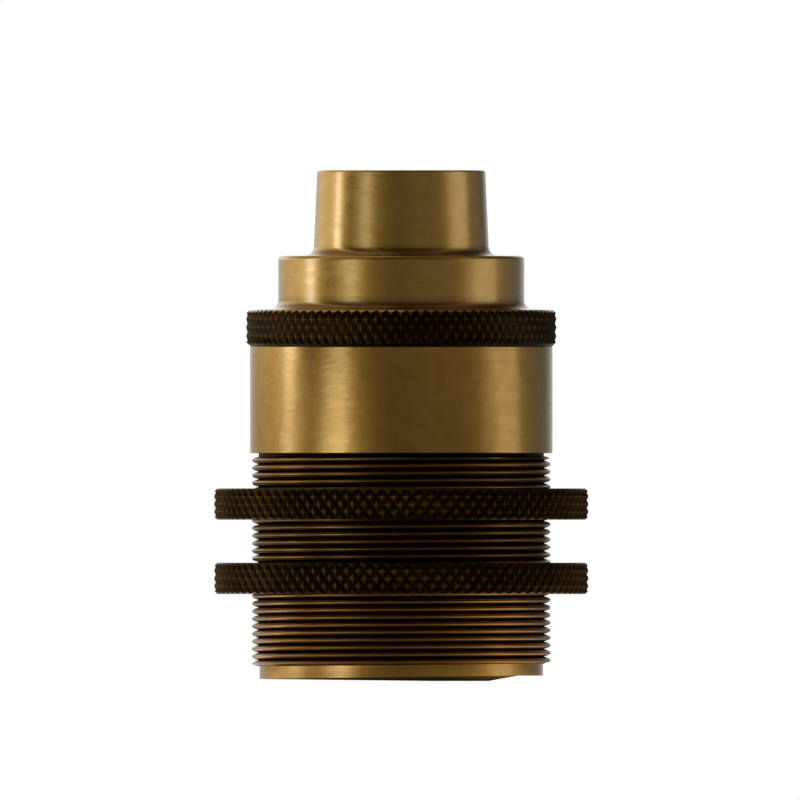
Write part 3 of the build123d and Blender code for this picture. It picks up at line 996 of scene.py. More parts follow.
@dataclass
class Cap:
    """Turned cap: tapered boss and step over a knurled flange, hollow, open at the foot.

    Attributes:
        finishes: Materials in the order of CapFinish.
        height: Height of the boss's end.
        foot: Height of the flange's lower face.
        flange_top: Height of the flange's upper edge.
        flange_rise: Rise of its upper face to the step.
        flange_top_radius: Outer radius of that face.
        step_radius: Radius of the step.
        step_top: Height of the step.
        step_top_round: Round of its edge.
        step_foot_round: Fillet at its foot.
        boss_foot_radius: Radius of the tapered boss at its foot.
        boss_top_radius: Radius at its end.
        boss_foot_round: Fillet at its foot.
        boss_top_round: Round of its end.
        seat: Height of the shoulder over the barrel's spigot.
        spigot_bore: Radius over the turns of the thread that takes the spigot.
        spigot_root: Radius between them.
        spigot_pitch: Rise of one of them.
        cavity_radius: Radius of the wiring space.
        ceiling: Height of its roof.
        cavity_round: Fillet under the roof.
        well_radius: Radius of the well for the tube nipple.
        well_top: Height of its roof.
        entry_radius: Radius over the turns of the cable entry.
        entry_root: Radius between them.
        entry_chamfer: Chamfer of the entry.
        entry_pitch: Rise of one of its turns.
        lock_height: Height of the grub screw's hole in the back.
        lock_radius: Radius of that hole.
        earth_radius: Radius of the earth screw's hole.
        earth_offset: Its distance behind the axis.
        earth_depth: Its depth from the cavity's roof up.
        knurl: Knurling of the flange.
    """

    finishes: Sequence[bpy.types.Material]
    height: float = 68.4
    foot: float = 44.8
    flange_top: float = 49.68
    flange_rise: float = 0.2
    flange_top_radius: float = 20.2
    step_radius: float = 16.5
    step_top: float = 56.95
    step_top_round: float = 0.6
    step_foot_round: float = 1.1
    boss_foot_radius: float = 11.78
    boss_top_radius: float = 11.27
    boss_foot_round: float = 1.3
    boss_top_round: float = 0.3
    seat: float = 49.0
    spigot_bore: float = 18.65
    spigot_root: float = 19.2
    spigot_pitch: float = 1.0
    cavity_radius: float = 15.0
    ceiling: float = 55.4
    cavity_round: float = 0.8
    well_radius: float = 6.5
    well_top: float = 60.4
    entry_radius: float = 4.46
    entry_root: float = 5.0
    entry_chamfer: float = 0.55
    entry_pitch: float = 1.0
    lock_height: float = 64.2
    lock_radius: float = 2.0
    earth_radius: float = 1.5
    earth_offset: float = 9.2
    earth_depth: float = 5.8
    knurl: DiamondKnurl = DiamondKnurl(
        crest=20.8,
        depth=0.375,
        pitch=1.138,
        middle=47.33,
        bottom_edge=(44.8, 20.2),
        top_edge=(49.68, 20.33),
    )

    def outside(self, body: TurnedMesh) -> None:
        """Turn the foot, knurl the flange, turn the step and the boss.

        Args:
            body: Mesh that takes the surfaces.
        """
        bottom = self.knurl.bottom_edge
        body.surface([(self.spigot_bore, self.foot), (bottom[1], bottom[0])], flat_end=True)
        edges = (CapFinish.KNURL, CapFinish.TURNED)
        self.knurl.add_to(body, CapFinish.KNURL, edges, CapFinish.RIDGE)
        top = self.knurl.top_edge
        dome = [
            Corner(top[1], top[0]),
            Corner(self.flange_top_radius, self.flange_top),
            Corner(self.step_radius, self.flange_top + self.flange_rise, self.step_foot_round),
            Corner(self.step_radius, self.step_top, self.step_top_round),
            Corner(self.boss_foot_radius, self.step_top, self.boss_foot_round),
            Corner(self.boss_top_radius, self.height, self.boss_top_round),
            Corner(self.entry_radius + self.entry_chamfer, self.height),
            Corner(self.entry_radius, self.height - self.entry_chamfer),
        ]
        body.surface(rounded(dome), flat_start=True)

    def inside(self, body: TurnedMesh) -> None:
        """Tap the entry, bore the well and the cavity, and thread the mouth.

        Args:
            body: Mesh that takes the surfaces.
        """
        entry = Thread(
            root=self.entry_root,
            crest=self.entry_radius,
            pitch=self.entry_pitch,
            bottom=self.well_top,
            top=self.height - self.entry_chamfer,
            bottom_radius=self.entry_radius,
            top_radius=self.entry_radius,
        )
        body.thread(entry, CapFinish.ENTRY)
        cavity = [
            Corner(self.entry_radius, self.well_top),
            Corner(self.well_radius, self.well_top),
            Corner(self.well_radius, self.ceiling),
            Corner(self.cavity_radius, self.ceiling, self.cavity_round),
            Corner(self.cavity_radius, self.seat),
            Corner(self.spigot_bore, self.seat),
        ]
        body.surface(rounded(cavity))
        mouth = Thread(
            root=self.spigot_root,
            crest=self.spigot_bore,
            pitch=self.spigot_pitch,
            bottom=self.foot,
            top=self.seat,
            bottom_radius=self.spigot_bore,
            top_radius=self.spigot_bore,
        )
        body.thread(mouth, CapFinish.MOUTH)

    def build(self) -> None:
        """Turn the cap, drill its screw holes and dress it."""
        body = TurnedMesh()
        self.outside(body)
        self.inside(body)
        piece = body.close("cap_turned", self.finishes)
        backward = Matrix.Rotation(-math.pi / 2, 4, "X")
        sideways = Matrix.Translation((0, 0, self.lock_height)) @ backward
        cut_away(piece, drill(self.lock_radius, self.boss_foot_radius + PAST, sideways))
        start = Matrix.Translation((0, self.earth_offset, self.ceiling - PAST))
        cut_away(piece, drill(self.earth_radius, self.earth_depth + PAST, start))
        dress(piece, "cap", "antique_brass", "cap")


@dataclass
class ShadeRing:
    """Knurled ring that runs on the skirt's thread.

    Attributes:
        name: Name of the piece.
        body: Body that it rides on.
        node: Node that it stands for.
        bottom: Height of its lower face.
        finishes: Materials in the order of RingFinish.
        thickness: Height of the ring.
        bore: Radius over the turns of its bore.
        thread_root: Radius between them.
        thread_pitch: Rise of one of them.
        bore_chamfer: Chamfer of the bore.
        edge_radius: Radius of its two faces.
        crest: Radius over the knurled points.
        knurl_depth: Height of the points.
        row_pitch: Height of half a diamond.
        sharp_angle: Angle in degrees over which an edge shades as an edge.
    """

    name: str
    body: str
    node: str
    bottom: float
    finishes: Sequence[bpy.types.Material]
    thickness: float = 4.19
    bore: float = 20.05
    thread_root: float = 20.6
    thread_pitch: float = 1.0
    bore_chamfer: float = 0.4
    edge_radius: float = 24.65
    crest: float = 25.1
    knurl_depth: float = 0.45
    row_pitch: float = 1.02
    sharp_angle: float = 25.0

    def build(self) -> None:
        """Knurl, bore and thread the ring, and dress it."""
        top = self.bottom + self.thickness
        mouth = self.bore + self.bore_chamfer
        knurl = DiamondKnurl(
            crest=self.crest,
            depth=self.knurl_depth,
            pitch=self.row_pitch,
            middle=(self.bottom + top) / 2,
            bottom_edge=(self.bottom, self.edge_radius),
            top_edge=(top, self.edge_radius),
        )
        ring = TurnedMesh()
        below = [(self.bore, self.bottom + self.bore_chamfer), (mouth, self.bottom)]
        ring.surface(below + [(self.edge_radius, self.bottom)], RingFinish.FACE, flat_end=True)
        edges = (RingFinish.CHAMFER, RingFinish.CHAMFER)
        knurl.add_to(ring, RingFinish.KNURL, edges, RingFinish.RIDGE)
        above = [(mouth, top), (self.bore, top - self.bore_chamfer)]
        ring.surface([(self.edge_radius, top)] + above, RingFinish.FACE, flat_start=True)
        bore = Thread(
            root=self.thread_root,
            crest=self.bore,
            pitch=self.thread_pitch,
            bottom=self.bottom + self.bore_chamfer,
            top=top - self.bore_chamfer,
            bottom_radius=self.bore,
            top_radius=self.bore,
        )
        ring.thread(bore, RingFinish.FACE)
        piece = ring.close(self.name, self.finishes)
        dress(piece, self.body, "dark_knurled_brass", self.node, sharp=self.sharp_angle)


@dataclass
class ScrewShell:
    """Sheet brass shell with the rolled thread of a 27 mm lamp and an inward flange.

    Attributes:
        finish: Material of the shell.
        minor: Inner radius between the waves.
        major: Inner radius over the waves.
        wall: Thickness of the sheet.
        pitch: Rise of a turn, seven to the inch.
        mouth: Height of the open end.
        shoulder: Height at which the thread ends.
        shoulder_radius: Inner radius over it.
        flange_bore: Radius of the flange's hole.
        seat: Height of the flange's upper face.
        bend: Inner radius of the bend to the flange.
    """

    finish: bpy.types.Material
    minor: float = 12.2
    major: float = 13.3
    wall: float = 0.35
    pitch: float = 3.629
    mouth: float = 5.0
    shoulder: float = 26.0
    shoulder_radius: float = 12.9
    flange_bore: float = 9.5
    seat: float = 31.0
    bend: float = 0.5

    def wave(self, gap: float) -> Thread:
        """Thread of one face of the sheet.

        Args:
            gap: Distance outward from the inner face.

        Returns:
            The thread.
        """
        return Thread(
            root=self.minor + gap,
            crest=self.major + gap,
            pitch=self.pitch,
            bottom=self.mouth,
            top=self.shoulder,
            bottom_radius=self.major + gap,
            top_radius=self.shoulder_radius + gap,
            form=ThreadForm.ROLLED,
            fade=self.pitch / 2,
        )

    def build(self) -> None:
        """Roll the shell and dress it."""
        shell = TurnedMesh()
        outer = self.shoulder_radius + self.wall
        shell.thread(self.wave(0.0))
        flange = [
            Corner(self.shoulder_radius, self.shoulder),
            Corner(self.shoulder_radius, self.seat - self.wall, self.bend),
            Corner(self.flange_bore, self.seat - self.wall),
            Corner(self.flange_bore, self.seat),
            Corner(outer, self.seat, self.bend + self.wall),
            Corner(outer, self.shoulder),
        ]
        shell.surface(rounded(flange))
        shell.thread(self.wave(self.wall))
        shell.surface([(self.major + self.wall, self.mouth), (self.major, self.mouth)])
        piece = shell.close("screw_shell_rolled", [self.finish])
        dress(piece, "barrel", "bright_brass", "screw_shell")


@dataclass(frozen=True)
class Finish(ABC):
    """Surface of one material; each kind of surface lays its own pattern nodes.

    Attributes:
        name: Name of the material.
    """

    name: str

    def build(self) -> bpy.types.Material:
        """Make the material.

        Returns:
            The material, with its nodes laid.
        """
        material = bpy.data.materials.new(self.name)
        material.use_nodes = True
        tree = material.node_tree
        tree.nodes.clear()
        place = add_node(tree, "TexCoord").outputs["Object"]
        shader = add_node(tree, "BsdfPrincipled", self.looks(tree, place))
        add_node(tree, "OutputMaterial", {0: shader.outputs[0]})
        return material

    @abstractmethod
    def looks(self, tree: bpy.types.NodeTree, place: bpy.types.NodeSocket) -> Looks:
        """Lay the pattern nodes.

        Args:
            tree: Node tree of the material.
            place: Place on the object.

        Returns:
            Inputs of the surface's shader.
        """


@dataclass(frozen=True)
class Foot:
    """Inner corner painted a darker brown for wax and shade: its radius, height and reach."""

    radius: float
    height: float
    reach: float


@dataclass(frozen=True)
class TurnedBrass(Finish):
    """CuZn39Pb3 brass, turned, antiqued and waxed.

    The feed marks of the tool show as short broken lines round the axis, the highlights
    spread along it, the wax leaves a faint mottle, and the inner corners are painted a darker
    brown for wax and the shade in them.

    Attributes:
        colour: Colour of most of the surface.
        light_colour: Colour where the mottle is light.
        dark_colour: Colour in the deepest feed marks.
        corner_shade_colour: Colour of the wax and painted shade in inner corners.
        roughness: Roughness in the middle of its range.
        roughness_spread: Width of that range.
        anisotropy: How far the feed marks stretch a highlight.
        feed: Advance of the tool in a turn, a usual one for a last cut that just shows.
        mark_length: Length of an unbroken mark.
        mark_depth: Height that the marks shade with.
        mark_strength: Share of that shading that is used.
        score_range: Levels of the marks between which they turn dark.
        score_strength: Share of the dark colour in a mark.
        grain_range: Levels of the marks between which the roughness runs.
        mottle: Size of a patch of the mottle.
        mottle_range: Levels of the mottle between which it turns light.
        corner_shade_strength: Share of that colour in the corner itself.
        chatter: Width of a wave that the tool's tremble leaves.
        chatter_height: Height of such a wave.
        chatter_depth: Depth that the waves shade with.
        lacquer: Weight of the clear lacquer.
        lacquer_roughness: Roughness of the lacquer.
        lacquer_ior: Its index, raised so that its gloss shows over the metal's.
        shaded_corners: Inner corners that the painted shade darkens.
    """

    colour: str = "#d0a856"
    light_colour: str = "#dab468"
    dark_colour: str = "#8a6326"
    corner_shade_colour: str = "#7d5219"
    roughness: float = 0.26
    roughness_spread: float = 0.10
    anisotropy: float = 0.6
    feed: float = 0.16
    mark_length: float = 9.0
    mark_depth: float = 0.004
    mark_strength: float = 0.35
    score_range: Range = (0.56, 0.72)
    score_strength: float = 0.22
    grain_range: Range = (0.7, 1.3)
    mottle: float = 2.2
    mottle_range: Range = (0.35, 0.7)
    corner_shade_strength: float = 0.75
    chatter: float = 1.3
    chatter_height: float = 0.5
    chatter_depth: float = 0.018
    lacquer: float = 0.0
    lacquer_roughness: float = 0.1
    lacquer_ior: float = 1.8
    shaded_corners: tuple[Foot, ...] = ()

    def tone(
        self, tree: bpy.types.NodeTree, place: bpy.types.NodeSocket, marks: bpy.types.NodeSocket
    ) -> bpy.types.NodeSocket:
        """Colour the surface: light mottle, dark marks, and corners painted brown for wax and
        shade.

        Args:
            tree: Node tree of the material.
            place: Place on the object.
            marks: Level of the feed marks.

        Returns:
            The colour.
        """
        mottle = add_node(
            tree, "TexNoise", {0: place, "Scale": 1 / (self.mottle * MM), "Detail": 4.0}
        ).outputs[0]
        light = add_node(
            tree,
            "MapRange",
            {0: mottle, "From Min": self.mottle_range[0], "From Max": self.mottle_range[1]},
            interpolation_type="SMOOTHSTEP",
        ).outputs[0]
        scored = add_node(
            tree,
            "MapRange",
            {
                0: marks,
                "From Min": self.score_range[0],
                "From Max": self.score_range[1],
                "To Max": self.score_strength,
            },
        ).outputs[0]
        layers = [(light, self.light_colour), (scored, self.dark_colour)]
        height = add_node(tree, "SeparateXYZ", {0: place}).outputs[2]
        spot = add_node(tree, "CombineXYZ", {0: axis_distance(tree, place), 2: height}).outputs[0]
        # Each inner corner is painted a darker brown: wax, and painted shade.
        for foot in self.shaded_corners:
            corner = (foot.radius * MM, 0.0, foot.height * MM)
            gap = add_node(
                tree, "VectorMath", {0: spot, 1: corner}, operation="DISTANCE"
            ).outputs["Value"]
            brown = add_node(
                tree,
                "MapRange",
                {
                    0: gap,
                    "From Min": foot.reach * MM,
                    "From Max": 0.0,
                    "To Max": self.corner_shade_strength,
                },
                interpolation_type="SMOOTHSTEP",
            ).outputs[0]
            layers.append((brown, self.corner_shade_colour))
        return layered(tree, self.colour, layers)

    def looks(self, tree: bpy.types.NodeTree, place: bpy.types.NodeSocket) -> Looks:
        """Lay the feed marks, the waves and the colours.

        Args:
            tree: Node tree of the material.
            place: Place on the object.

        Returns:
            Inputs of the surface's shader.
        """
        split = add_node(tree, "SeparateXYZ", {0: place}).outputs
        radius = axis_distance(tree, place)
        # Faces across the axis are marked too, because the marks follow height plus radius.
        along = add_node(tree, "Math", {0: split[2], 1: radius}, operation="ADD").outputs[0]
        wound = add_node(tree, "CombineXYZ", {0: split[0], 1: split[1], 2: along}).outputs[0]
        marks = wound_noise(tree, wound, self.mark_length, self.feed, 3.0, roughness=0.6)
        bands = wound_noise(tree, wound, 2 * self.mark_length, 4 * self.feed, 2.0)
        chatter = wound_noise(tree, wound, self.chatter, self.chatter_height, 2.0)
        grain = add_node(tree, "Math", {0: marks, 1: bands}, operation="ADD").outputs[0]
        rough = add_node(
            tree,
            "MapRange",
            {
                0: grain,
                "From Min": self.grain_range[0],
                "From Max": self.grain_range[1],
                "To Min": self.roughness - self.roughness_spread / 2,
                "To Max": self.roughness + self.roughness_spread / 2,
            },
        ).outputs[0]
        waves = add_node(
            tree, "Bump", {"Strength": 1.0, "Distance": self.chatter_depth * MM, "Height": chatter}
        ).outputs[0]
        bump = add_node(
            tree,
            "Bump",
            {
                "Strength": self.mark_strength,
                "Distance": self.mark_depth * MM,
                "Height": grain,
                "Normal": waves,
            },
        ).outputs[0]
        return {
            "Base Color": self.tone(tree, place, marks),
            "Metallic": 1.0,
            "Roughness": rough,
            "Normal": bump,
            "Tangent": add_node(tree, "Tangent", direction_type="RADIAL", axis="Z").outputs[0],
            "Anisotropic": self.anisotropy,
            "Anisotropic Rotation": QUARTER_TURN,
            "Coat Weight": self.lacquer,
            "Coat Roughness": self.lacquer_roughness,
            "Coat IOR": self.lacquer_ior,
        }


@dataclass(frozen=True)
class ThreadedBrass(Finish):
    """Brass thread, cut and antiqued: the crests are rubbed bronze, the roots black from antiquing
    and painted shade.

    Attributes:
        root: Radius between the turns.
        crest: Radius over the turns.
        crest_colour: Colour of the rubbed crests.
        root_shade_colour: Colour of the roots, the antique black with the shade in them painted
            in.
        rubbed_and_lit_range: Shares of the depth over which the roots' painted shade gives way to
            the crests.
        roughness: Roughness of the crests.
        root_dullness: How much rougher the roots are.
        wax: Weight of the wax.
        wax_roughness: Roughness of the wax.
        wax_ior: Its index.
        streak: Size of a patch that is rubbed more or less.
        streak_range: Levels of the patches between which the rubbing grows.
        streak_least: Share of the rubbing where it is least.
    """

    root: float
    crest: float
    crest_colour: str = "#b08a52"
    root_shade_colour: str = "#0c0803"
    rubbed_and_lit_range: Range = (0.3, 0.75)
    roughness: float = 0.28
    root_dullness: float = 0.3
    wax: float = 0.35
    wax_roughness: float = 0.18
    wax_ior: float = 1.5
    streak: float = 5.0
    streak_range: Range = (0.3, 0.7)
    streak_least: float = 0.7

    def looks(self, tree: bpy.types.NodeTree, place: bpy.types.NodeSocket) -> Looks:
        """Rub the crests unevenly and paint the roots black, with the shade that falls in them.

        Args:
            tree: Node tree of the material.
            place: Place on the object.

        Returns:
            Inputs of the surface's shader.
        """
        depth = self.crest - self.root
        # Darker towards the roots: antique black and painted shade; paler towards the crests:
        # wear.
        rubbed = add_node(
            tree,
            "MapRange",
            {
                0: axis_distance(tree, place),
                "From Min": (self.root + self.rubbed_and_lit_range[0] * depth) * MM,
                "From Max": (self.root + self.rubbed_and_lit_range[1] * depth) * MM,
            },
            interpolation_type="SMOOTHSTEP",
        ).outputs[0]
        patches = add_node(
            tree, "TexNoise", {0: place, "Scale": 1 / (self.streak * MM), "Detail": 3.0}
        ).outputs[0]
        wear = add_node(
            tree,
            "MapRange",
            {
                0: patches,
                "From Min": self.streak_range[0],
                "From Max": self.streak_range[1],
                "To Min": self.streak_least,
            },
        ).outputs[0]
        share = add_node(tree, "Math", {0: rubbed, 1: wear}, operation="MULTIPLY").outputs[0]
        dull = self.roughness + self.root_dullness
        rough = add_node(
            tree, "MapRange", {0: share, "To Min": dull, "To Max": self.roughness}
        ).outputs[0]
        return {
            "Base Color": layered(tree, self.root_shade_colour, [(share, self.crest_colour)]),
            "Metallic": 1.0,
            "Roughness": rough,
            "Coat Weight": self.wax,
            "Coat Roughness": self.wax_roughness,
            "Coat IOR": self.wax_ior,
        }


@dataclass(frozen=True)
class BlackenedBrass(Finish):
    """Brass, knurled or faced, then chemically blackened.

    It looks almost black with a warm brown sheen in patches, and paler towards the points
    and along the ridges, where fingers rub it and where a highlight is painted on them.

    Attributes:
        colour: Colour of most of the surface.
        warm_colour: Colour of the warmer patches.
        tip_wear_and_highlight_colour: Colour of the points, rubbed and painted with a highlight.
        crest: Radius over the points.
        depth: Height of the points.
        rubbed_and_lit_depth: Share of that height over which they grow pale with wear and painted
            highlight.
        roughness: Roughness in the middle of its range.
        roughness_spread: Width of that range.
        patch: Size of a warmer patch.
        patch_range: Levels of the patches between which they turn warm.
    """

    colour: str = "#2f210e"
    warm_colour: str = "#3e2c14"
    tip_wear_and_highlight_colour: str = "#4a3619"
    crest: float = ShadeRing.crest
    depth: float = ShadeRing.knurl_depth
    rubbed_and_lit_depth: float = 0.7
    roughness: float = 0.36
    roughness_spread: float = 0.16
    patch: float = 1.6
    patch_range: Range = (0.35, 0.7)

    def looks(self, tree: bpy.types.NodeTree, place: bpy.types.NodeSocket) -> Looks:
        """Lay the warm patches and the pale points, which are wear and a painted highlight.

        Args:
            tree: Node tree of the material.
            place: Place on the object.

        Returns:
            Inputs of the surface's shader.
        """
        patches = add_node(
            tree, "TexNoise", {0: place, "Scale": 1 / (self.patch * MM), "Detail": 4.0}
        ).outputs[0]
        warm = add_node(
            tree,
            "MapRange",
            {0: patches, "From Min": self.patch_range[0], "From Max": self.patch_range[1]},
        ).outputs[0]
        # Paler towards the points: wear, and a painted highlight.
        rubbed = add_node(
            tree,
            "MapRange",
            {
                0: axis_distance(tree, place),
                "From Min": (self.crest - self.rubbed_and_lit_depth * self.depth) * MM,
                "From Max": self.crest * MM,
            },
        ).outputs[0]
        half = self.roughness_spread / 2
        rough = add_node(
            tree,
            "MapRange",
            {0: patches, "To Min": self.roughness - half, "To Max": self.roughness + half},
        ).outputs[0]
        layers = [(warm, self.warm_colour), (rubbed, self.tip_wear_and_highlight_colour)]
        return {
            "Base Color": layered(tree, self.colour, layers),
            "Metallic": 1.0,
            "Roughness": rough,
        }


@dataclass(frozen=True)
class BrightMetal(Finish):
    """Bare metal with fine drawing or turning lines and a slight change of tone.

    Attributes:
        colour: Colour of most of the surface.
        dull_colour: Colour of the duller lines.
        roughness: Roughness in the middle of its range.
        roughness_spread: Width of that range.
        line: Distance of the lines; real ones, some 0.03 mm apart, are too fine to show,
            so they are drawn this coarse.
        line_length: Length of an unbroken line.
        line_strength: Share of the shading that is used.
        depth: Height that the lines shade with.
        dull_range: Levels of the lines between which they turn dull.
        dull_strength: Share of the dull colour in a line.
    """

    colour: str
    dull_colour: str
    roughness: float
    roughness_spread: float = 0.12
    line: float = 0.12
    line_length: float = 3.0
    line_strength: float = 0.3
    depth: float = 0.002
    dull_range: Range = (0.45, 0.75)
    dull_strength: float = 0.5

    def looks(self, tree: bpy.types.NodeTree, place: bpy.types.NodeSocket) -> Looks:
        """Draw the lines.

        Args:
            tree: Node tree of the material.
            place: Place on the object.

        Returns:
            Inputs of the surface's shader.
        """
        lines = wound_noise(tree, place, self.line_length, self.line, 2.0)
        dull = add_node(
            tree,
            "MapRange",
            {
                0: lines,
                "From Min": self.dull_range[0],
                "From Max": self.dull_range[1],
                "To Max": self.dull_strength,
            },
        ).outputs[0]
        half = self.roughness_spread / 2
        rough = add_node(
            tree,
            "MapRange",
            {0: lines, "To Min": self.roughness - half, "To Max": self.roughness + half},
        ).outputs[0]
        bump = add_node(
            tree,
            "Bump",
            {"Strength": self.line_strength, "Distance": self.depth * MM, "Height": lines},
        ).outputs[0]
        return {
            "Base Color": layered(tree, self.colour, [(dull, self.dull_colour)]),
            "Metallic": 1.0,
            "Roughness": rough,
            "Normal": bump,
        }


@dataclass(frozen=True)
class GlazedPorcelain(Finish):
    """Electrical porcelain, pressed, glazed and fired: white, glossy, with a faint ripple.

    Attributes:
        colour: Colour of the glaze.
        speck_colour: Colour of its specks.
        speck: Size of a speck.
        speck_range: Levels of the noise between which a speck shows.
        speck_strength: Share of the speck's colour.
        ripple: Size of a ripple of the glaze.
        ripple_strength: Share of the ripples' shading that is used.
        depth: Height that the ripples shade with.
        body_roughness: Roughness of the fired body under the glaze.
        body_ior: Its index.
        glaze: Weight of the glaze.
        glaze_roughness: Roughness of the glaze.
        glaze_ior: Its index.
    """

    colour: str = "#efece2"
    speck_colour: str = "#d9d2c0"
    speck: float = 0.5
    speck_range: Range = (0.62, 0.75)
    speck_strength: float = 0.6
    ripple: float = 6.0
    ripple_strength: float = 0.25
    depth: float = 0.02
    body_roughness: float = 0.35
    body_ior: float = 1.5
    glaze: float = 0.8
    glaze_roughness: float = 0.08
    glaze_ior: float = 1.52

    def looks(self, tree: bpy.types.NodeTree, place: bpy.types.NodeSocket) -> Looks:
        """Speckle and ripple the glaze.

        Args:
            tree: Node tree of the material.
            place: Place on the object.

        Returns:
            Inputs of the surface's shader.
        """
        specks = add_node(
            tree, "TexNoise", {0: place, "Scale": 1 / (self.speck * MM), "Detail": 2.0}
        ).outputs[0]
        share = add_node(
            tree,
            "MapRange",
            {
                0: specks,
                "From Min": self.speck_range[0],
                "From Max": self.speck_range[1],
                "To Max": self.speck_strength,
            },
        ).outputs[0]
        ripple = add_node(
            tree, "TexNoise", {0: place, "Scale": 1 / (self.ripple * MM), "Detail": 1.0}
        ).outputs[0]
        bump = add_node(
            tree,
            "Bump",
            {"Strength": self.ripple_strength, "Distance": self.depth * MM, "Height": ripple},
        ).outputs[0]
        return {
            "Base Color": layered(tree, self.colour, [(share, self.speck_colour)]),
            "Roughness": self.body_roughness,
            "IOR": self.body_ior,
            "Coat Weight": self.glaze,
            "Coat Roughness": self.glaze_roughness,
            "Coat IOR": self.glaze_ior,
            "Normal": bump,
            "Coat Normal": bump,
        }


@dataclass(frozen=True)
class Glow:
    """Light that comes from one direction round the object.

    Attributes:
        degrees: Its bearing, 0 towards the camera and 90 to the right.
        colour: Its colour.
        level: Its strength at the horizon.
        raised: Its strength from a few degrees over the horizon upward.
    """

    degrees: float
    colour: str
    level: float
    raised: float = 0.0


@dataclass
class Studio:
    """Pale floor, soft surrounding light and the camera.

    The turned brass mirrors the light. Each glow is a soft box or a dark gap between two, set
    to give the bands of light that the photograph shows; floor glows are what the floor throws
    up.

    Attributes:
        middle_height: Height that the camera is level with.
        axis_offset: How far the camera stands to the right of the axis.
        distance: Distance of the camera.
        frame_width: Width of the picture.
        clip_range: Nearest and farthest distance that is drawn, in metres.
        floor_size: Side of the floor.
        floor_colour: Colour of the floor.
        floor_glow: Light that the floor adds so that it shows white.
        ambient: Strength of the even light on matt surfaces.
        peak: Strength that a full colour of a ring of light stands for.
        overhead: Tint of the raised lights where they reach over the object.
        raised_range: Sines of the elevations between which the level lights give way.
        overhead_range: Sines of the elevations between which the tint grows.
        glows: Lights round the object; the floor far from it shows the level ones.
        floor_glows: Lights of the floor near the object.
        floor_near: Distance from the axis up to which the near ones hold.
        floor_far: Distance from which the far ones hold.
        shade_start: Distance up to which the floor's glow is painted out, a painted shadow under
            the rim.
        shade_end: Distance from which it is fully lit.
    """

    middle_height: float = 37.63
    axis_offset: float = -0.17
    distance: float = 1500.0
    frame_width: float = 107.12
    clip_range: Range = (0.1, 20.0)
    floor_size: float = 6000.0
    floor_colour: str = "#ece9e4"
    floor_glow: float = 0.75
    ambient: float = 0.85
    peak: float = 2.5
    overhead: str = "#a2957c"
    raised_range: Range = (0.03, 0.09)
    overhead_range: Range = (0.2, 0.55)
    glows: tuple[Glow, ...] = (
        Glow(-180, "#ffffff", 0.85, 0.85),
        Glow(-160, "#ffffff", 0.44, 0.82),
        Glow(-140, "#fff2d4", 0.36, 0.9),
        Glow(-112, "#ffecc4", 0.5, 0.76),
        Glow(-103, "#fff8ec", 0.6, 0.82),
        Glow(-98, "#eff1ff", 1.1, 2.25),
        Glow(-93, "#eff1ff", 1.15, 2.25),
        Glow(-88, "#fff6e4", 0.64, 0.66),
        Glow(-84, "#fff0d4", 0.54, 0.27),
        Glow(-73, "#ffecc0", 0.28, 0.1),
        Glow(-65, "#fff0cc", 0.41, 0.18),
        Glow(-57, "#fafaf4", 0.88, 0.33),
        Glow(-50, "#fafaff", 1.2, 0.58),
        Glow(-44, "#f8faf8", 1.25, 0.53),
        Glow(-39, "#fff0c8", 0.58, 0.26),
        Glow(-32, "#ffecb8", 0.32, 0.16),
        Glow(-20, "#ffe8c0", 0.145, 0.13),
        Glow(-4, "#ffe7c8", 0.095, 0.125),
        Glow(20, "#ffe8c8", 0.13, 0.158),
        Glow(46, "#ffe9c8", 0.128, 0.16),
        Glow(62, "#ffe8c4", 0.2, 0.22),
        Glow(72, "#fff4e0", 0.35, 0.52),
        Glow(80, "#fff6ee", 0.6, 0.58),
        Glow(98, "#fff6ee", 0.57, 0.52),
        Glow(104, "#fff0d4", 0.25, 0.17),
        Glow(122, "#fbeee4", 0.155, 0.165),
        Glow(145, "#e8f0ff", 0.19, 0.07),
        Glow(162, "#ffffff", 0.4, 0.35),
        Glow(180, "#ffffff", 0.85, 0.85),
    )
    floor_glows: tuple[Glow, ...] = (
        Glow(-180, "#ffffff", 0.9),
        Glow(-150, "#efeaf2", 0.65),
        Glow(-124, "#f0e4ea", 0.9),
        Glow(-80, "#f4e2e0", 1.7),
        Glow(-74, "#ffc488", 0.36),
        Glow(-40, "#ffd0a0", 0.32),
        Glow(-10, "#ffdcb4", 0.18),
        Glow(20, "#ffdcb4", 0.22),
        Glow(46, "#ffdcb0", 0.8),
        Glow(56, "#ffe2bc", 1.3),
        Glow(98, "#ffe8d4", 0.75),
        Glow(106, "#fbe6da", 0.4),
        Glow(130, "#e6e6f0", 0.3),
        Glow(155, "#efeff4", 0.45),
        Glow(180, "#ffffff", 0.9),
    )
    floor_near: float = 33.0
    floor_far: float = 48.0
    shade_start: float = 18.2
    shade_end: float = 22.5

    def bearing(
        self, tree: bpy.types.NodeTree, direction: bpy.types.NodeSocket
    ) -> bpy.types.NodeSocket:
        """Measure directions round the axis.

        Args:
            tree: Node tree of the world or the floor.
            direction: Vector whose bearing is measured.

        Returns:
            The bearing as a share of a turn, one half towards the camera and more to the right.
        """
        split = add_node(tree, "SeparateXYZ", {0: direction}).outputs
        front = add_node(tree, "Math", {0: split[1], 1: -1.0}, operation="MULTIPLY").outputs[0]
        angle = add_node(tree, "Math", {0: split[0], 1: front}, operation="ARCTAN2").outputs[0]
        return add_node(
            tree, "MapRange", {0: angle, "From Min": -math.pi, "From Max": math.pi}
        ).outputs[0]

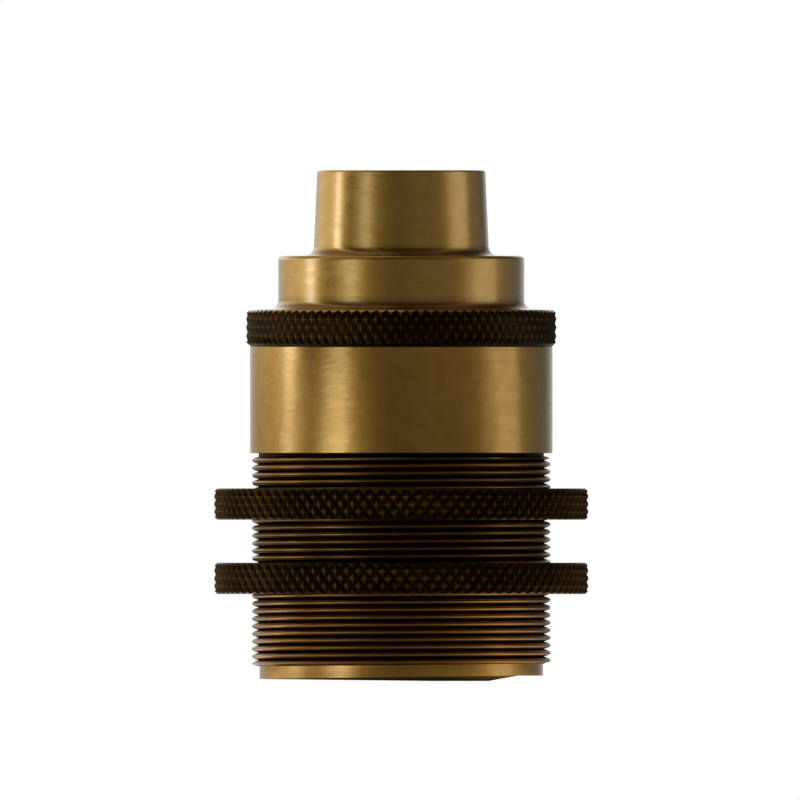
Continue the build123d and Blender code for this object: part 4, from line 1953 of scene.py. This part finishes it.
    def ring_of_light(
        self,
        tree: bpy.types.NodeTree,
        bearing: bpy.types.NodeSocket,
        glows: Sequence[Glow],
        levels: Sequence[float],
    ) -> bpy.types.NodeSocket:
        """Colour the directions round the axis.

        Args:
            tree: Node tree of the world or the floor.
            bearing: Bearing as a share of a turn.
            glows: Lights in order of their bearing.
            levels: Strength of each light.

        Returns:
            The colour, which is right when the studio's peak multiplies it.
        """
        ramp = add_node(tree, "ValToRGB", {0: bearing})
        stops = ramp.color_ramp.elements
        for glow in glows[1:-1]:
            stops.new(glow.degrees / 360 + 0.5)
        for stop, glow, level in zip(stops, glows, levels):
            colour = Vector(linear(glow.colour)) * (level / self.peak)
            stop.color = (colour[0], colour[1], colour[2], 1.0)
        return ramp.outputs[0]

    def light(self) -> None:
        """Surround the object with soft boxes, even light for matt surfaces and white behind."""
        world = bpy.data.worlds.new("studio")
        bpy.context.scene.world = world
        world.use_nodes = True
        world.cycles.sampling_method = "NONE"
        tree = world.node_tree
        tree.nodes.clear()
        direction = add_node(tree, "TexCoord").outputs["Generated"]
        height = add_node(tree, "SeparateXYZ", {0: direction}).outputs[2]
        bearing = self.bearing(tree, direction)
        level = self.ring_of_light(tree, bearing, self.glows, [glow.level for glow in self.glows])
        raised = self.ring_of_light(
            tree, bearing, self.glows, [glow.raised for glow in self.glows]
        )
        risen = add_node(
            tree,
            "MapRange",
            {0: height, "From Min": self.raised_range[0], "From Max": self.raised_range[1]},
            interpolation_type="SMOOTHSTEP",
        ).outputs[0]
        colour = add_node(
            tree, "Mix", {MIX_FACTOR: risen, MIX_A: level, MIX_B: raised}, data_type="RGBA"
        ).outputs[MIX_RESULT]
        upward = add_node(
            tree,
            "MapRange",
            {0: height, "From Min": self.overhead_range[0], "From Max": self.overhead_range[1]},
            interpolation_type="SMOOTHSTEP",
        ).outputs[0]
        above = add_node(
            tree,
            "Mix",
            {MIX_FACTOR: 1.0, MIX_A: raised, MIX_B: linear(self.overhead)},
            data_type="RGBA",
            blend_type="MULTIPLY",
        ).outputs[MIX_RESULT]
        seen = add_node(
            tree, "Mix", {MIX_FACTOR: upward, MIX_A: colour, MIX_B: above}, data_type="RGBA"
        ).outputs[MIX_RESULT]
        boxes = add_node(tree, "Background", {0: seen, 1: self.peak}).outputs[0]
        even = add_node(tree, "Background", {0: WHITE, 1: self.ambient}).outputs[0]
        white = add_node(tree, "Background", {0: WHITE, 1: 1.0}).outputs[0]
        diffuse = add_node(tree, "LightPath").outputs["Is Diffuse Ray"]
        matt = add_node(tree, "MixShader", {0: diffuse, 1: boxes, 2: even}).outputs[0]
        surround = add_node(
            tree, "MixShader", {0: plain_view(tree), 1: matt, 2: white}
        ).outputs[0]
        add_node(tree, "OutputWorld", {0: surround})

    def floor_material(self) -> bpy.types.Material:
        """Make the matt pale floor, which keeps the shadow and is lit unevenly.

        Returns:
            The floor's material; turned brass mirrors the uneven light that it throws up.
        """
        material = bpy.data.materials.new("studio_floor_matt")
        material.use_nodes = True
        material.cycles.emission_sampling = "NONE"
        tree = material.node_tree
        tree.nodes.clear()
        place = add_node(tree, "NewGeometry").outputs["Position"]
        bearing = self.bearing(tree, place)
        levels = [glow.level for glow in self.floor_glows]
        near = self.ring_of_light(tree, bearing, self.floor_glows, levels)
        far = self.ring_of_light(tree, bearing, self.glows, [glow.level for glow in self.glows])
        distance = add_node(tree, "VectorMath", {0: place}, operation="LENGTH").outputs["Value"]
        away = add_node(
            tree,
            "MapRange",
            {0: distance, "From Min": self.floor_near * MM, "From Max": self.floor_far * MM},
            interpolation_type="SMOOTHSTEP",
        ).outputs[0]
        colour = add_node(
            tree, "Mix", {MIX_FACTOR: away, MIX_A: near, MIX_B: far}, data_type="RGBA"
        ).outputs[MIX_RESULT]
        # The floor's glow fades to nothing under the rim: a painted shadow.
        strength = add_node(
            tree,
            "MapRange",
            {
                0: distance,
                "From Min": self.shade_start * MM,
                "From Max": self.shade_end * MM,
                "To Max": self.peak,
            },
        ).outputs[0]
        lit = add_node(tree, "Emission", {0: colour, 1: strength}).outputs[0]
        matt = add_node(tree, "BsdfDiffuse", {0: linear(self.floor_colour)}).outputs[0]
        added = add_node(tree, "Emission", {0: WHITE, 1: self.floor_glow}).outputs[0]
        white = add_node(tree, "AddShader", {0: matt, 1: added}).outputs[0]
        seen = add_node(tree, "MixShader", {0: plain_view(tree), 1: matt, 2: white}).outputs[0]
        glossy = add_node(tree, "LightPath").outputs["Is Glossy Ray"]
        mirrored = add_node(tree, "MixShader", {0: glossy, 1: seen, 2: lit}).outputs[0]
        add_node(tree, "OutputMaterial", {0: mirrored})
        return material

    def floor(self) -> None:
        """Lay the floor under the rim."""
        half = self.floor_size / 2 * MM
        mesh = bpy.data.meshes.new("floor")
        corners = [(-half, -half, 0), (half, -half, 0), (half, half, 0), (-half, half, 0)]
        mesh.from_pydata(corners, [], [(0, 1, 2, 3)])
        mesh.materials.append(self.floor_material())
        plane = bpy.data.objects.new("floor", mesh)
        bpy.context.scene.collection.objects.link(plane)

    def camera(self) -> None:
        """Place the camera level with the holder's middle, as in the photograph."""
        data = bpy.data.cameras.new("camera")
        data.type = "ORTHO"
        data.ortho_scale = self.frame_width * MM
        data.clip_start, data.clip_end = self.clip_range
        camera = bpy.data.objects.new("camera", data)
        camera.location = Vector((self.axis_offset, -self.distance, self.middle_height)) * MM
        camera.rotation_euler = (math.pi / 2, 0, 0)
        bpy.context.scene.collection.objects.link(camera)
        bpy.context.scene.camera = camera

    def build(self) -> None:
        """Make the light, the floor and the camera, and keep colours plain."""
        bpy.context.scene.view_settings.view_transform = "Standard"
        self.light()
        self.floor()
        self.camera()


@dataclass(frozen=True)
class Finishes:
    """Every material of the holder, made once."""

    cap: bpy.types.Material
    barrel: bpy.types.Material
    skirt_thread: bpy.types.Material
    neck_thread: bpy.types.Material
    undercut: bpy.types.Material
    rim: bpy.types.Material
    entry_thread: bpy.types.Material
    mouth_thread: bpy.types.Material
    cap_knurl: bpy.types.Material
    cap_ridge: bpy.types.Material
    ring_knurl: bpy.types.Material
    ring_ridge: bpy.types.Material
    ring_chamfer: bpy.types.Material
    ring_face: bpy.types.Material
    rolled: bpy.types.Material
    machined: bpy.types.Material
    steel: bpy.types.Material
    porcelain: bpy.types.Material

    @classmethod
    def make(cls) -> "Finishes":
        """Make the materials.

        Returns:
            All of them.
        """
        # The step's and the boss's feet get a darker brown painted in, for wax and shade.
        step_foot = Foot(radius=16.6, height=50.0, reach=2.0)
        boss_foot = Foot(radius=11.9, height=57.1, reach=1.6)
        cap = TurnedBrass(
            "brass_turned_lacquered",
            # Paler brass than the barrel's: a brighter polish, and painted light for the stronger
            # light higher up.
            colour="#ddb558",
            light_colour="#e6c26c",
            roughness=0.3,
            lacquer=1.0,
            shaded_corners=(step_foot, boss_foot),
        )
        knurl = Cap.knurl
        return cls(
            cap=cap.build(),
            barrel=TurnedBrass("brass_turned_waxed", roughness=0.235, lacquer=0.4).build(),
            skirt_thread=ThreadedBrass(
                "brass_thread_skirt", Barrel.thread_root, Barrel.thread_crest
            ).build(),
            neck_thread=ThreadedBrass(
                "brass_thread_neck", Barrel.neck_root, Barrel.neck_crest
            ).build(),
            # The groove under the band is painted almost black: tarnish that no polishing wheel
            # reaches, and the shade in it.
            undercut=BlackenedBrass(
                "brass_undercut_tarnished_and_shaded",
                colour="#0c0803",
                warm_colour="#140d05",
                tip_wear_and_highlight_colour="#0c0803",
                roughness=0.5,
            ).build(),
            # The rim had a finer last cut, so it mirrors the floor with hardly a break.
            rim=TurnedBrass(
                "brass_rim_turned",
                roughness=0.19,
                anisotropy=0.0,
                chatter_depth=0.003,
                lacquer=0.4,
            ).build(),
            entry_thread=ThreadedBrass(
                "brass_thread_entry", Cap.entry_root, Cap.entry_radius
            ).build(),
            mouth_thread=ThreadedBrass(
                "brass_thread_mouth", Cap.spigot_root, Cap.spigot_bore
            ).build(),
            cap_knurl=BlackenedBrass(
                "brass_knurled_cap",
                colour="#281b0b",
                warm_colour="#352510",
                crest=knurl.crest,
                depth=knurl.depth,
            ).build(),
            # The rubbed ridges are paler towards the points: wear and a painted highlight.
            cap_ridge=BlackenedBrass(
                "brass_ridges_rubbed_highlight_painted_cap",
                tip_wear_and_highlight_colour="#8a7040",
                crest=knurl.crest,
                depth=knurl.depth,
            ).build(),
            ring_knurl=BlackenedBrass("brass_knurled_ring").build(),
            ring_ridge=BlackenedBrass("brass_ridges_rubbed_highlight_painted_ring", tip_wear_and_highlight_colour="#957c50").build(),
            # The chamfers are a paler grey brown: hands rub the rings' edges most, and the pale
            # floor's reflection is painted on them.
            ring_chamfer=BlackenedBrass(
                "brass_chamfer_rubbed_reflection_painted", colour="#463a28", warm_colour="#564834", roughness=0.34
            ).build(),
            ring_face=BlackenedBrass("brass_faced_blackened", colour="#33240f").build(),
            rolled=BrightMetal(
                "brass_sheet_rolled", "#dcb868", "#b48f48", roughness=0.24, line=0.2
            ).build(),
            machined=BrightMetal(
                "brass_rod_machined", "#d8b468", "#a98542", roughness=0.28
            ).build(),
            steel=BrightMetal(
                "steel_zinc_plated", "#c9cbcd", "#9fa4aa", roughness=0.33, line_length=0.6
            ).build(),
            porcelain=GlazedPorcelain("porcelain_glazed").build(),
        )


@dataclass
class Insert:
    """Porcelain insert and electrical parts, whose solids already have their final form."""

    frame: dict
    finishes: Finishes

    def build(self) -> None:
        """Give every carried-over part its finish."""
        by_finish = {
            self.finishes.porcelain: ("insulating_liner", "porcelain_base"),
            self.finishes.machined: (
                "live_terminal",
                "neutral_terminal",
                "contact_strap",
                "contact_plunger",
            ),
            self.finishes.steel: (
                "nipple_lock_screw",
                "earth_screw",
                "earth_washer",
                "shell_screws",
                "shell_nuts",
                "terminal_screws",
                "clamp_plates",
                "contact_screw",
                "contact_spring",
            ),
        }
        for finish, nodes in by_finish.items():
            for node in nodes:
                repaint(self.frame, node, finish)


def main() -> None:
    """Load the frame and build the holder around it."""
    logging.basicConfig(level=logging.INFO, format="%(message)s")
    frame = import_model()
    Studio().build()
    finishes = Finishes.make()
    barrel_finishes = [
        finishes.barrel,
        finishes.skirt_thread,
        finishes.neck_thread,
        finishes.undercut,
        finishes.rim,
    ]
    Barrel(barrel_finishes).build()
    Cap(
        [
            finishes.cap,
            finishes.cap_knurl,
            finishes.cap_ridge,
            finishes.entry_thread,
            finishes.mouth_thread,
        ]
    ).build()
    ring_finishes = [
        finishes.ring_knurl,
        finishes.ring_chamfer,
        finishes.ring_ridge,
        finishes.ring_face,
    ]
    ShadeRing(
        name="shade_ring_upper_knurled",
        body="ring_upper",
        node="shade_ring_upper",
        bottom=21.6,
        finishes=ring_finishes,
    ).build()
    ShadeRing(
        name="shade_ring_lower_knurled",
        body="ring_lower",
        node="shade_ring_lower",
        bottom=11.65,
        finishes=ring_finishes,
    ).build()
    ScrewShell(finishes.rolled).build()
    Insert(frame, finishes).build()


if __name__ == "__main__":
    main()
